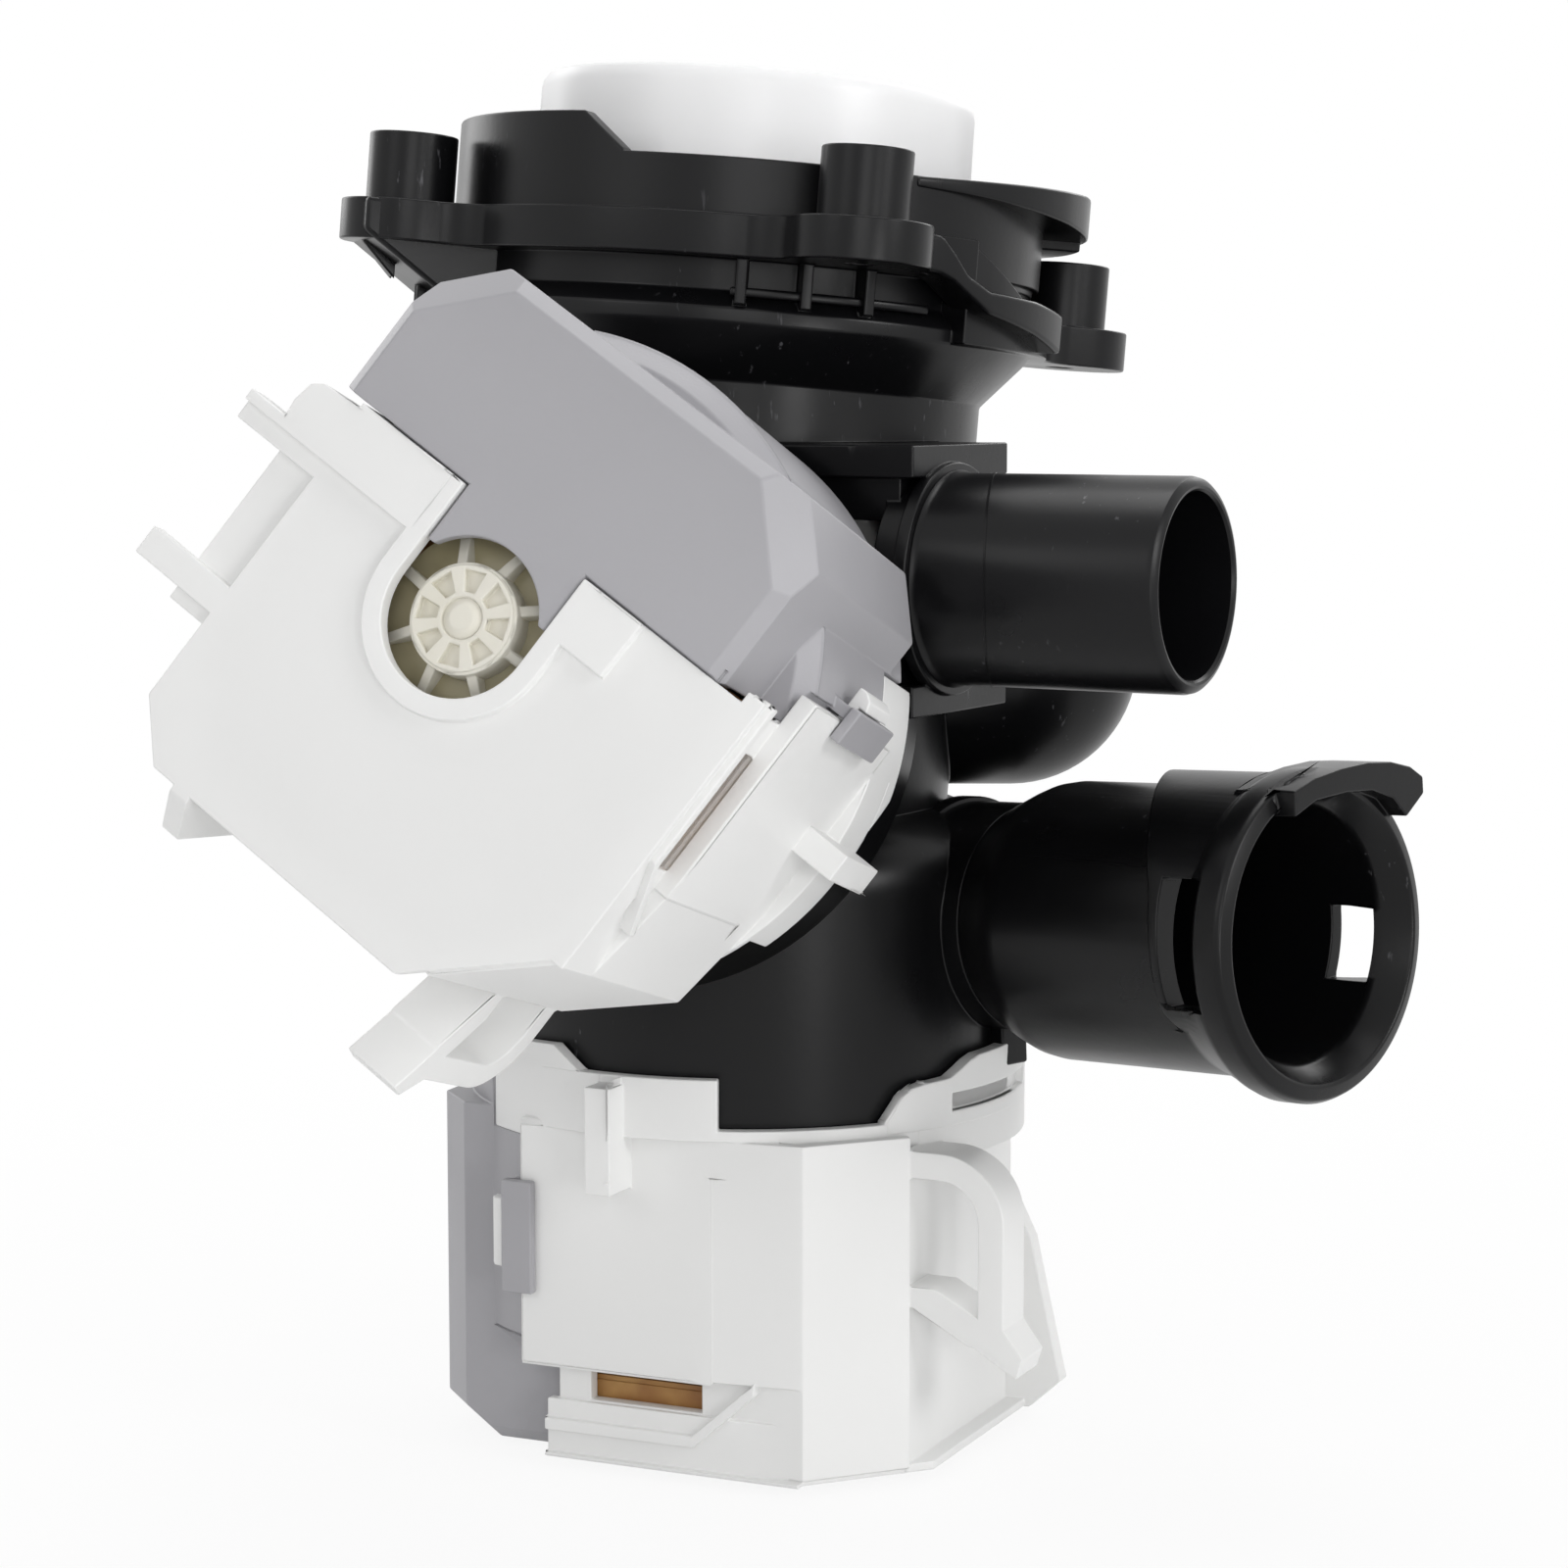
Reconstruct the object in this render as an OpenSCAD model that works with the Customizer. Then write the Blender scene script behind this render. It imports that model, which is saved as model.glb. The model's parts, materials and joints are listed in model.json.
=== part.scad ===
// Twin washer pump: one moulded housing with a filter tube, a drain pump
// below and a circulation pump on the front. Millimetres, Z up. The part
// stands on the back plate of the drain motor.

/* [Placement] */

// drain pump axis, left to right from the middle of the part's plan box
drain_axis_x = -8.83; // [-30:0.01:30]
// drain pump axis, front to back from the middle of the part's plan box
drain_axis_y = 25.13; // [-30:0.01:40]
// turn of the drain motor about its axis
drain_turn = -114.5; // [-180:0.5:180]
// circulation pump: where its axis leaves the filter tube, across
circ_x = -5.6; // [-20:0.1:20]
// circulation pump: where its axis leaves the filter tube, in front of the tube's foot
circ_front = 4.5; // [0:0.1:10]
// circulation pump: where its axis leaves the filter tube, height
circ_z = 103.5; // [95:0.1:125]
// circulation pump: mounting plane from the filter axis
circ_reach = 54; // [48:0.5:70]
// circulation pump: swing to the left
circ_yaw = 17; // [0:0.5:40]
// circulation pump: tilt upwards
circ_tilt = 14.5; // [0:0.5:30]
// circulation pump: roll of the motor about its own axis
circ_roll = 35; // [0:0.5:90]

/* [Filter tube] */

// filter tube: lean to the right
tube_lean_x = 4.5; // [0:0.5:10]
// filter tube: lean to the back
tube_lean_y = 2; // [0:0.5:10]
// filter axis at the flange, across
flange_x = 0; // [-10:0.5:10]
// filter axis at the flange, front to back
flange_y = 4; // [-10:0.5:10]
// height of the flange's top face
flange_z = 181; // [170:0.5:200]
// bore of the filter tube
tube_bore = 69; // [60:0.5:75]
// wall of the moulded housing
wall = 2.5; // [2:0.1:4]
// thickness of the flange
flange_t = 6; // [4:0.5:8]
// pitch circle of the four screw posts
post_pcd = 105; // [98:0.5:120]
// outer diameter of a screw post
post_d = 13; // [10:0.5:16]
// height of a screw post above the flange
post_h = 10; // [6:0.5:14]
// hole in a screw post
post_hole = 4.2; // [3:0.1:6]
// turn of the screw posts about the filter axis
post_turn = 18; // [0:1:45]
// step down to the right-hand lobe
lobe_drop = 9; // [0:0.5:12]
// outside diameter of the collar round the knob
collar_d = 89; // [84:0.5:96]
// wall of the collar
collar_t = 3; // [2:0.5:4]
// height of the low part of the collar above the flange
collar_low = 8; // [5:0.5:10]
// height of the high part of the collar above the flange
collar_high = 13.5; // [10:0.5:18]

/* [Filter] */

// outside diameter of the knob
knob_d = 65; // [55:0.5:75]
// height of the knob
knob_h = 21.8; // [16:0.5:32]
// wall of the knob
knob_t = 2.6; // [2:0.1:4]
// thickness of the grip bar across the knob
grip_t = 8; // [5:0.5:14]
// gap under the knob's skirt
knob_lift = 0.3; // [0.2:0.1:1]
// outside diameter of the knob's skirt
skirt_d = 77; // [73:0.5:80]
// thickness of the knob's skirt
skirt_t = 2.5; // [1.5:0.1:4]
// length of the filter cage below the tube's rim
cage_l = 66; // [40:1:75]
// wall of the cage
cage_t = 2; // [1.5:0.1:3]
// slots around the cage
cage_slots = 8; // [6:1:12]
// running clearance of the filter in the tube
filter_gap = 0.6; // [0.4:0.1:1.5]
// cord diameter of the rubber rings
ring_d = 2.4; // [1.6:0.1:3]

/* [Pump chambers] */

// seat in the rim for the can's flange
seat_d = 75; // [70:0.5:80]
// wall of the rim around the seat, which enters the motor's ring
rim_wall = 2.5; // [2:0.1:4]
// depth of the seat, and thickness of the can's flange
seat_h = 3.2; // [2:0.1:5]
// inside diameter of the drain chamber
drain_bore = 68; // [60:0.5:70]
// height of the drain chamber above the motor's ring
drain_h = 41; // [36:0.5:50]
// inside diameter of the circulation chamber
circ_bore = 66; // [60:0.5:70]
// depth of the circulation chamber
circ_h = 14; // [12:0.5:18]
// eye between the tube and the drain chamber
drain_eye = 27; // [20:0.5:34]
// eye between the tube and the circulation chamber
circ_eye = 22; // [16:0.5:28]

/* [Pipes] */

// circulation outlet: outside diameter
outlet_d = 30; // [24:0.5:34]
// circulation outlet: bore
outlet_bore = 26; // [18:0.5:28]
// circulation outlet: collar at its root, on the radius
outlet_collar = 1.5; // [0.5:0.1:3]
// circulation outlet: length
outlet_l = 36.7; // [25:0.1:60]
// circulation outlet: swing to the front
outlet_yaw = 29.3; // [0:0.5:60]
// circulation outlet: root, across
outlet_x = 30; // [24:0.5:36]
// circulation outlet: root, front to back
outlet_y = -40; // [-46:0.5:-38]
// circulation outlet: root, height
outlet_z = 131.6; // [125:0.1:136]
// drain socket: bore of the bell
bell_bore = 36; // [30:0.5:38]
// drain socket: outside diameter of the bell
bell_d = 41; // [38:0.5:44]
// drain socket: outside diameter of the rim
bell_rim_d = 46.8; // [44:0.2:52]
// drain socket: length from the neck's end
bell_l = 53.5; // [46:0.5:70]
// drain socket: outside diameter of the neck
neck_d = 34; // [30:0.5:36]
// drain socket: bore of the neck
neck_bore = 28; // [20:0.5:29]
// drain socket: swing to the front
bell_yaw = 45; // [20:0.5:70]
// drain socket: rise towards the mouth
bell_rise = 3; // [0:0.5:8]
// drain socket: neck's end from the point nearest to the pump axis
neck_reach = 43.3; // [41:0.1:56]
// drain socket: offset of its axis from the pump axis
bell_offset = 17; // [0:0.1:22]
// drain socket: height of the neck's axis above the base
bell_z = 80.2; // [76:0.1:84]
// inlet elbow: outside diameter
inlet_d = 38; // [30:0.5:40]
// inlet elbow: bore
inlet_bore = 33; // [24:0.5:35]
// inlet elbow: corner, across
inlet_x = 40.5; // [36:0.5:50]
// inlet elbow: corner, front to back
inlet_y = 8; // [4:0.5:12]
// inlet elbow: height of its axis
inlet_z = 117; // [112:0.5:122]
// inlet elbow: length behind the corner
inlet_l = 52; // [40:0.5:70]
// inlet elbow: where the spout joins the corner
inlet_joint = 24; // [22:0.5:32]

/* [Motors] */

// length of the motor behind the pump's rim
motor_l = 52; // [46:0.5:60]
// wall of the mounting ring
ring_wall = 2.1; // [1.8:0.1:4]
// height of the mounting ring around the pump's rim
ring_h = 6; // [4:0.5:9]
// clearance around the pump's rim
ring_gap = 0.4; // [0.3:0.05:0.8]
// width of the carrier from the axis to its latch side
carrier_right = 37.4; // [35:0.1:40]
// width of the carrier from the axis to its terminal side
carrier_left = 28.6; // [28:0.1:34]
// depth of the carrier from the axis
carrier_deep = 40; // [38:0.5:44]
// set-back of the carrier's wall from its base plate
carrier_inset = 3; // [1:0.5:5]
// the line where carrier and cap meet, from the axis
split_y = 13.6; // [12:0.1:17]
// reach of the cap from the axis
cap_deep = 38.8; // [37:0.1:44]
// cut corners of the cap
cap_corner = 7; // [4:0.5:12]
// half width of the cap
cap_half = 33; // [31:0.5:34]
// wall of the carrier and the cap
shell_t = 2.2; // [1.8:0.1:3]
// round opening at the back of the motor
vent_d = 21; // [18:0.5:24]
// reach of the loop on the carrier's deep side
loop_out = 15; // [12:0.5:20]
// width of the loop
loop_w = 8.5; // [4:0.5:12]
// fit gap between carrier and cap
shell_gap = 0.3; // [0.2:0.05:0.6]

/* [Rotor and stator] */

// bore of the rotor can
can_bore = 22.8; // [20:0.2:26]
// wall of the rotor can
can_t = 1.6; // [1.2:0.1:2.4]
// ribs on the closed end of the can
can_ribs = 8; // [6:1:12]
// diameter of the rotor magnet
magnet_d = 20.8; // [18:0.2:24]
// gap between the rotor magnet and the rear bush
magnet_gap = 4.4; // [1:0.1:8]
// diameter of the shaft
shaft_d = 4; // [3:0.1:6]
// running clearance of the shaft in its bushes, on the radius
bush_gap = 0.05; // [0.02:0.01:0.09]
// diameter of the drain impeller
drain_impeller_d = 42; // [30:1:56]
// height of the drain impeller's vanes
drain_vane_h = 16; // [8:0.5:24]
// diameter of the circulation impeller
circ_impeller_d = 40; // [30:1:54]
// height of the circulation impeller's vanes
circ_vane_h = 7; // [4:0.5:8]
// vanes on an impeller
vanes = 6; // [4:1:8]
// outside diameter of the stator core
core_d = 52; // [46:0.5:52]
// length of the stator core
core_l = 18; // [12:0.5:22]
// teeth of the stator core
teeth = 6; // [6:1:6]
// thickness of the driver board
board_t = 1.6; // [1:0.1:2]

/* [Hidden] */
$fn = 64;
eps = 0.01;
tube_r = tube_bore / 2 + wall;
collar_r = collar_d / 2;
rim_r = seat_d / 2 + rim_wall;
ring_r = rim_r + ring_gap;
ring_od = 2 * (ring_r + ring_wall);
post_r = post_pcd / 2;
lobe_r = post_d / 2 + 3.5;
black = [0.13, 0.13, 0.14];
white = [0.94, 0.94, 0.93];
grey = [0.69, 0.68, 0.70];
beige = [0.79, 0.76, 0.66];
rubber = [0.2, 0.2, 0.2];
steel = [0.7, 0.7, 0.72];
copper = [0.72, 0.42, 0.2];
phenolic = [0.65, 0.5, 0.28];
ferrite = [0.25, 0.25, 0.27];

// levels inside a motor, from the pump's rim towards the back plate
shelf_t = 3;
core_z = 14;
coil_over = 3.2;
yoke = 5;
board_z = core_z + core_l + coil_over + 3.5;
can_end = motor_l - 8;
bush_l = 6;
magnet_z = 6;
magnet_l = can_end - can_t - bush_l - magnet_gap - magnet_z;
post_in_r = core_d / 2 - 2.5;
elbow_d = inlet_d + 1.2;
guard_h = 8;
guard_a0 = -19.5;
guard_a1 = 38;

// levels of the filter tube's foot and of its floor, above the base
tube_foot = motor_l + drain_h - 7;
tube_floor = motor_l + drain_h + 6;

// frames

module on_base() {
    translate([drain_axis_x, drain_axis_y, 0]) children();
}

module in_filter() {
    on_base() translate([flange_x, flange_y, flange_z])
        rotate([-tube_lean_y, tube_lean_x, 0]) children();
}

// z = 0 at the pump's rim, +z towards the motor's back plate
module in_drain() {
    on_base() translate([0, 0, motor_l])
        rotate([0, 0, drain_turn]) rotate([180, 0, 0]) children();
}

module in_circ() {
    on_base() translate([circ_x, flange_y - circ_front, circ_z])
        rotate([90 - circ_tilt, 0, -circ_yaw]) translate([0, 0, circ_reach])
        rotate([0, 0, -circ_roll]) children();
}

// +z out of the pipe's mouth, z = 0 at its root
module in_outlet() {
    on_base() translate([outlet_x, outlet_y, outlet_z])
        rotate([0, 0, -outlet_yaw]) rotate([0, 90, 0]) children();
}

// +z out of the socket's mouth, z = 0 at the neck's end, +x downwards
module in_socket() {
    on_base() translate([0, 0, bell_z]) rotate([0, 0, -bell_yaw])
        translate([neck_reach, bell_offset, 0]) rotate([0, 90 - bell_rise, 0])
        children();
}

// z = 0 at the corner of the elbow, +z out of its mouth, to the back
module in_inlet() {
    on_base() translate([inlet_x, inlet_y, inlet_z]) rotate([-90, 0, 0])
        children();
}

// shapes used by several pieces

module tube(r_out, r_in, h) {
    difference() {
        cylinder(r = r_out, h = h);
        translate([0, 0, -eps]) cylinder(r = r_in, h = h + 2 * eps);
    }
}

// a sector of a ring between two angles, for cuts and raised parts
module sector(r, a0, a1, h) {
    n = ceil((a1 - a0) / 60);
    s = (a1 - a0) / n;
    pts = [for (i = [0 : n]) [r * cos(a0 + i * s), r * sin(a0 + i * s)] / cos(s / 2)];
    linear_extrude(h) polygon(concat([[0, 0]], pts));
}

// the same, hollow in the middle
module ring_sector(r_in, r, a0, a1, h) {
    n = ceil((a1 - a0) / 45);
    s = (a1 - a0) / n;
    out = [for (i = [0 : n]) [r * cos(a0 + i * s), r * sin(a0 + i * s)] / cos(s / 2)];
    back = [for (i = [n : -1 : 0]) [r_in * cos(a0 + i * s), r_in * sin(a0 + i * s)]];
    linear_extrude(h) polygon(concat(out, back));
}

// a screw lobe: an arm with a round end, and a fillet where it leaves the ring
module lobe_plan(ring, reach, r) {
    translate([reach, 0]) circle(r);
    translate([0, -r]) square([reach, 2 * r]);
    f = 8;
    for (s = [-1, 1]) {
        c = sqrt((ring + f) * (ring + f) - (r + f) * (r + f));
        difference() {
            polygon([[c, 0], [c, s * (r + f)], [0, 0]]);
            translate([c, s * (r + f)]) circle(f + 0.1);
        }
    }
}

// filter tube and housing

module flange_solid() {
    flange_r = collar_r + 2;
    low = [post_turn - 62, post_turn + 50];
    difference() {
        translate([0, 0, -flange_t]) linear_extrude(flange_t) {
            circle(flange_r);
            for (a = [90, 180, 270]) rotate(post_turn + a)
                lobe_plan(flange_r, post_r, lobe_r);
        }
        translate([0, 0, -flange_t - 1]) difference() {
            sector(flange_r + 6, low[0], low[1], flange_t + 2);
            cylinder(r = collar_r - 1, h = flange_t + 2);
        }
    }
    translate([0, 0, -lobe_drop - flange_t]) intersection() {
        linear_extrude(flange_t) {
            circle(flange_r);
            rotate(post_turn) lobe_plan(flange_r, post_r, lobe_r);
        }
        sector(post_r + 2 * lobe_r, low[0] - 2, low[1] + 2, flange_t);
    }
    // slope from the flange down to the low lobe, on the front
    half = flange_r * sin(12);
    intersection() {
        translate([0, 0, -lobe_drop - flange_t])
            tube(flange_r - 0.2, collar_r - collar_t - 1, lobe_drop + flange_t);
        rotate(low[0] + 10) rotate([90, 0, 90]) linear_extrude(flange_r + 4) polygon([
            [-half, -0.2], [half, -lobe_drop - 0.2],
            [half, -lobe_drop - flange_t + 0.2], [-half, -flange_t + 0.2],
        ]);
    }
    for (a = [0 : 90 : 270]) rotate(post_turn + a) {
        z = a == 0 ? -lobe_drop : 0;
        translate([post_r, 0, z - flange_t]) cylinder(d = post_d, h = flange_t + post_h);
        if (a == 90 || a == 180) translate([0, wall / 2, z - flange_t]) rotate([90, 0, 0])
            linear_extrude(wall)
            polygon([[tube_r - 1, 1], [post_r + lobe_r - 2, 1], [tube_r - 1, -24]]);
    }
}

module collar_solid() {
    neck_r = collar_r - collar_t;
    bead_r = collar_r - 0.5;
    low = collar_high - collar_low;
    ear_h = 6;
    difference() {
        rotate_extrude() polygon([
            [tube_r - 1, -24], [bead_r - 1.2, -16.5], [bead_r, -15],
            [bead_r, -13], [bead_r - 1.4, -11.5], [neck_r, -10.5], [neck_r, -flange_t + 1],
            [collar_r, -flange_t + 1], [collar_r, collar_high],
            [collar_r - collar_t, collar_high], [collar_r - collar_t, -eps], [tube_r - 1, -eps],
        ]);
        // the low part of the rim, with a sloped end at the front
        translate([0, 0, collar_low]) ring_sector(0.5 * collar_r, 1.4 * collar_r, -114, 105, 2 * low);
        rotate(-114) translate([0, 0.4, collar_low]) rotate([52, 0, 0])
            translate([collar_r - 2 * collar_t, 0, 0]) cube([3 * collar_t, 10, 2 * low]);
    }
    // ear on the right of the rim
    intersection() {
        translate([0, 0, collar_low - ear_h]) tube(collar_r + 6, collar_r - collar_t / 2, ear_h - 0.2);
        translate([0, 0, collar_low - 2 * ear_h]) sector(collar_r + 8, 2, 42, 3 * ear_h);
    }
    // three hooks between the flange and the bead
    for (a = [-90, -78, -66]) rotate(a)
        translate([neck_r - 1, -0.8, -12.5]) cube([collar_t + 1.5, 1.6, 12.5 - flange_t + 1]);
}

module housing_outside() {
    in_filter() {
        translate([0, 0, tube_foot - flange_z]) cylinder(r = tube_r, h = flange_z - tube_foot);
        flange_solid();
        collar_solid();
    }
    in_drain() drain_chamber_outside();
    in_circ() circ_chamber_outside();
    // neck of the drain socket, and the round shoulder behind the bell
    in_socket() {
        translate([0, 0, -neck_reach + 8]) cylinder(d = neck_d, h = neck_reach - 8);
    }
    outlet_root_outside();
    in_inlet() {
        sphere(d = elbow_d);
        cylinder(d = elbow_d, h = inlet_joint);
        rotate([0, -90, 0]) cylinder(d = elbow_d, h = inlet_x);
    }
}

module drain_chamber_outside() {
    round_r = 11;
    top = -drain_h - 3;
    shoulder = [for (a = [0 : 15 : 90])
        [rim_r - round_r + round_r * sin(a), top + round_r - round_r * cos(a)]];
    rotate_extrude() polygon(concat([[0, 0], [0, top]], shoulder, [[rim_r, 0]]));
}

module circ_chamber_outside() {
    translate([0, 0, -circ_reach + tube_r - 8]) cylinder(r = rim_r, h = circ_reach - tube_r + 8);
}

// the box-like root between the circulation chamber and its outlet
module outlet_root_outside() {
    plate = 4.5;
    tall = outlet_d + 2 * plate - 1;
    front = outlet_d / 2 - 3;
    deep = outlet_d;
    in_outlet() {
        translate([-tall / 2, -front, -32]) cube([plate, deep, 31]);
        translate([tall / 2 - plate, -front, -20]) cube([plate, deep, 19]);
        translate([-tall / 2 + 2, -front + 2, -34]) cube([tall - 4, deep - 3, 30]);
        translate([0, 0, -6]) cylinder(d = outlet_d, h = 5);
        translate([0, 0, -2]) cylinder(d = outlet_d + 2 * outlet_collar, h = 2);
    }
}

module housing_inside() {
    in_filter() {
        translate([0, 0, tube_floor - flange_z]) cylinder(d = tube_bore, h = flange_z);
        for (a = [0 : 90 : 270]) rotate(post_turn + a)
            translate([post_r, 0, -flange_t - lobe_drop - 30])
            cylinder(d = post_hole, h = flange_t + lobe_drop + post_h + 40);
    }
    in_drain() {
        translate([0, 0, -drain_h]) cylinder(d = drain_bore, h = drain_h + 1);
        translate([0, 0, -seat_h]) cylinder(d = seat_d, h = seat_h + 1);
        translate([0, 0, -drain_h - 10]) cylinder(d = drain_eye, h = 12);
    }
    in_circ() {
        translate([0, 0, -circ_h]) cylinder(d = circ_bore, h = circ_h + 1);
        translate([0, 0, -seat_h]) cylinder(d = seat_d, h = seat_h + 1);
        translate([0, 0, -circ_reach + 20]) cylinder(d = circ_eye, h = circ_reach - 20 - circ_h + 1);
    }
    in_socket() translate([0, 0, -neck_reach + 14]) cylinder(d = neck_bore, h = neck_reach);
    in_outlet() translate([0, 0, -30]) cylinder(d = outlet_bore, h = 31);
    in_inlet() {
        sphere(d = inlet_bore);
        cylinder(d = inlet_bore, h = inlet_joint + 1);
        rotate([0, -90, 0]) cylinder(d = inlet_bore, h = inlet_x - 8);
    }
}

module pump_housing() {
    color(black) difference() {
        housing_outside();
        housing_inside();
    }
}

module circulation_outlet() {
    lip = 1.2;
    r = outlet_d / 2;
    color(black) in_outlet() rotate_extrude() polygon([
        [outlet_bore / 2, 0], [r + outlet_collar, 0], [r + outlet_collar, 3], [r, 4],
        [r, outlet_l - lip], [r - lip, outlet_l], [outlet_bore / 2, outlet_l],
    ]);
}

module drain_socket() {
    r = bell_d / 2;
    rim = bell_rim_d / 2;
    floor_z = 9;
    lead = 5;
    slot_l = 6;
    slot_z = bell_l - 3.7 - slot_l;
    color(black) in_socket() {
        difference() {
            union() {
                rotate_extrude() polygon([
                    [0, 0], [neck_d / 2, 0], [neck_d / 2 + 0.6, 1.5], [r - 1.5, 6],
                    [r, 9], [r, bell_l - 12], [rim, bell_l - 5],
                    [rim, bell_l - 1], [rim - 1, bell_l], [0, bell_l],
                ]);
                // raised pad on the upper left, up to the rim
                translate([0, 0, bell_l - 27]) intersection() {
                    cylinder(r = r + 2, h = 24);
                    sector(bell_rim_d, 178, 245, 24);
                }
                // flat visor over the top of the rim, out to the right
                translate([-rim - 0.2, -6.5, bell_l - 6.3]) cube([4, 28, 9.3]);
            }
            translate([0, 0, floor_z]) cylinder(d = bell_bore, h = bell_l);
            translate([0, 0, bell_l - lead])
                cylinder(d1 = bell_bore, d2 = bell_rim_d - 3.6, h = lead + eps);
            translate([0, 0, -1]) cylinder(d = neck_bore, h = floor_z + 2);
            // latch windows behind the rim, the left one taller
            translate([-9.5, -r - 4, slot_z]) cube([18, 8, slot_l]);
            translate([-2, r - 4, slot_z]) cube([10.5, 8, slot_l]);
        }
    }
}

module inlet_spout() {
    lip = 1.2;
    r = inlet_d / 2;
    l = inlet_l - inlet_joint;
    color(black) in_inlet() translate([0, 0, inlet_joint]) rotate_extrude() polygon([
        [inlet_bore / 2, 0], [r, 0], [r, l - lip], [r - lip, l], [inlet_bore / 2, l],
    ]);
}

// filter

module filter_knob() {
    r = knob_d / 2;
    edge = 3;
    color(white) in_filter() translate([0, 0, knob_lift]) {
        difference() {
            rotate_extrude() {
                square([skirt_d / 2, skirt_t]);
                polygon([
                    [0, 0], [r + 0.6, 0], [r + 0.2, knob_h - edge], [0, knob_h - edge],
                ]);
                translate([r + 0.2 - edge, knob_h - edge]) intersection() {
                    circle(edge);
                    square(edge);
                }
                translate([0, knob_h - edge - eps]) square([r + 0.2 - edge, edge + eps]);
            }
            // the hollow for the fingers on each side of the grip bar
            difference() {
                translate([0, 0, skirt_t + 1.5]) cylinder(r = r - knob_t, h = knob_h);
                translate([-r, -grip_t / 2, 0]) cube([2 * r, grip_t, knob_h - 1.5]);
            }
        }
    }
}

module filter_cage() {
    r = tube_bore / 2 - filter_gap;
    basket_r = r - 3.2;
    head = 9;
    groove = ring_d + 0.8;
    color(white) in_filter() difference() {
        union() {
            translate([0, 0, -head]) cylinder(r = r, h = head + knob_lift);
            translate([0, 0, -cage_l]) cylinder(r = basket_r, h = cage_l);
        }
        translate([0, 0, -cage_l + cage_t]) cylinder(r = basket_r - cage_t, h = cage_l - head - cage_t);
        for (i = [0 : cage_slots - 1]) rotate((i + 0.5) * 360 / cage_slots)
            translate([0, -basket_r * 0.2, -cage_l + 6])
            cube([basket_r + 1, basket_r * 0.4, cage_l - head - 10]);
        translate([0, 0, -cage_l - 1]) cylinder(r = basket_r - 8, h = cage_t + 2);
        translate([0, 0, -head / 2 - groove / 2]) tube(r + 1, r - ring_d + filter_gap - 0.6, groove);
    }
}

module filter_seal() {
    r = tube_bore / 2 - 0.3 - ring_d / 2;
    color(rubber) in_filter() translate([0, 0, -4.5])
        rotate_extrude() translate([r, 0]) circle(d = ring_d);
}

// motor pieces, in the motor's own frame

// base plate of the carrier
module base_plan() {
    c = 14;
    d = 6.8;
    polygon([
        [carrier_right, split_y], [carrier_right, -carrier_deep + c],
        [carrier_right - c - 1.5, -carrier_deep], [-carrier_left + d, -carrier_deep],
        [-carrier_left, -carrier_deep + d], [-carrier_left, split_y],
    ]);
}

// walls of the carrier, drawn in by g from the outside
module wall_plan(g) {
    c = 12;
    k = g * 0.414;
    y = -carrier_deep + carrier_inset + g;
    right = carrier_right - g;
    left = -carrier_left + g;
    polygon([
        [right, split_y + 1], [right, y + c - k], [right - c + k, y],
        [left + c - k, y], [left, y + c - k], [left, split_y + 1],
    ]);
}

module cap_plan(g) {
    c = cap_corner;
    k = g * 0.414;
    h = cap_half - g;
    y = cap_deep - g;
    polygon([
        [h, split_y + shell_gap - g], [h, y - c + k], [h - c + k, y],
        [-h + c - k, y], [-h, y - c + k], [-h, split_y + shell_gap - g],
    ]);
}

// bevel along the back edge of the cap
module cap_edges(back) {
    b = 2;
    wide = 4.9;
    slant = (cap_half + cap_deep - cap_corner) / sqrt(2);
    for (e = [[0, cap_half, b], [180, cap_half, b], [90, cap_deep, b], [45, slant, wide], [135, slant, wide]])
        rotate(e[0]) translate([e[1] - e[2], -50, back]) rotate([0, 45, 0]) cube([20, 100, 20]);
}

module half_plane(y0, s) {
    translate([-100, s > 0 ? y0 : y0 - 200, -100]) cube([200, 200, 300]);
}

// loop, strut and fin on the deep side of the carrier
module carrier_loop() {
    y0 = -carrier_deep + carrier_inset;
    out = loop_out;
    bar = 4;
    corner = 10;
    top = 3;
    foot_z = 31;
    translate([carrier_right - 12 - loop_w, 0, 0]) rotate([90, 0, 90]) linear_extrude(loop_w)
        difference() {
            union() {
                translate([y0 - out + corner, top + corner]) circle(corner);
                translate([y0 - out + corner, top]) square([out - corner + 1, foot_z - top]);
                translate([y0 - out, top + corner]) square([out + 1, foot_z - top - corner]);
                polygon([
                    [y0 + 1, 20], [y0 + 1, 24], [y0 - out - 2, foot_z + 4],
                    [y0 - out - 3, foot_z + 1], [y0 - out, foot_z - 3],
                ]);
            }
            translate([y0 - out + corner, top + corner]) circle(corner - bar);
            translate([y0 - out + corner, top + bar]) square([out - corner, 16]);
            translate([y0 - out + bar, top + corner]) square([out - bar, 7]);
            polygon([
                [y0, 19], [y0, 20.5], [y0 - out + bar, 20.5 + (out - bar) * 0.55],
                [y0 - out + bar, 19],
            ]);
            polygon([
                [y0 + 2, 24.5], [y0 + 2, foot_z + 6], [y0 - out - 3, foot_z + 6],
                [y0 - out - 2, foot_z + 4],
            ]);
        }
    translate([-18, 0, 0]) rotate([90, 0, 90]) linear_extrude(3)
        polygon([
            [y0 + 1, 16], [y0, 16], [y0 - 4, 24], [y0 - 9, motor_l - 6],
            [y0 - 3, motor_l - 0.5], [y0 + 1, motor_l - 0.5],
        ]);
}

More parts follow.
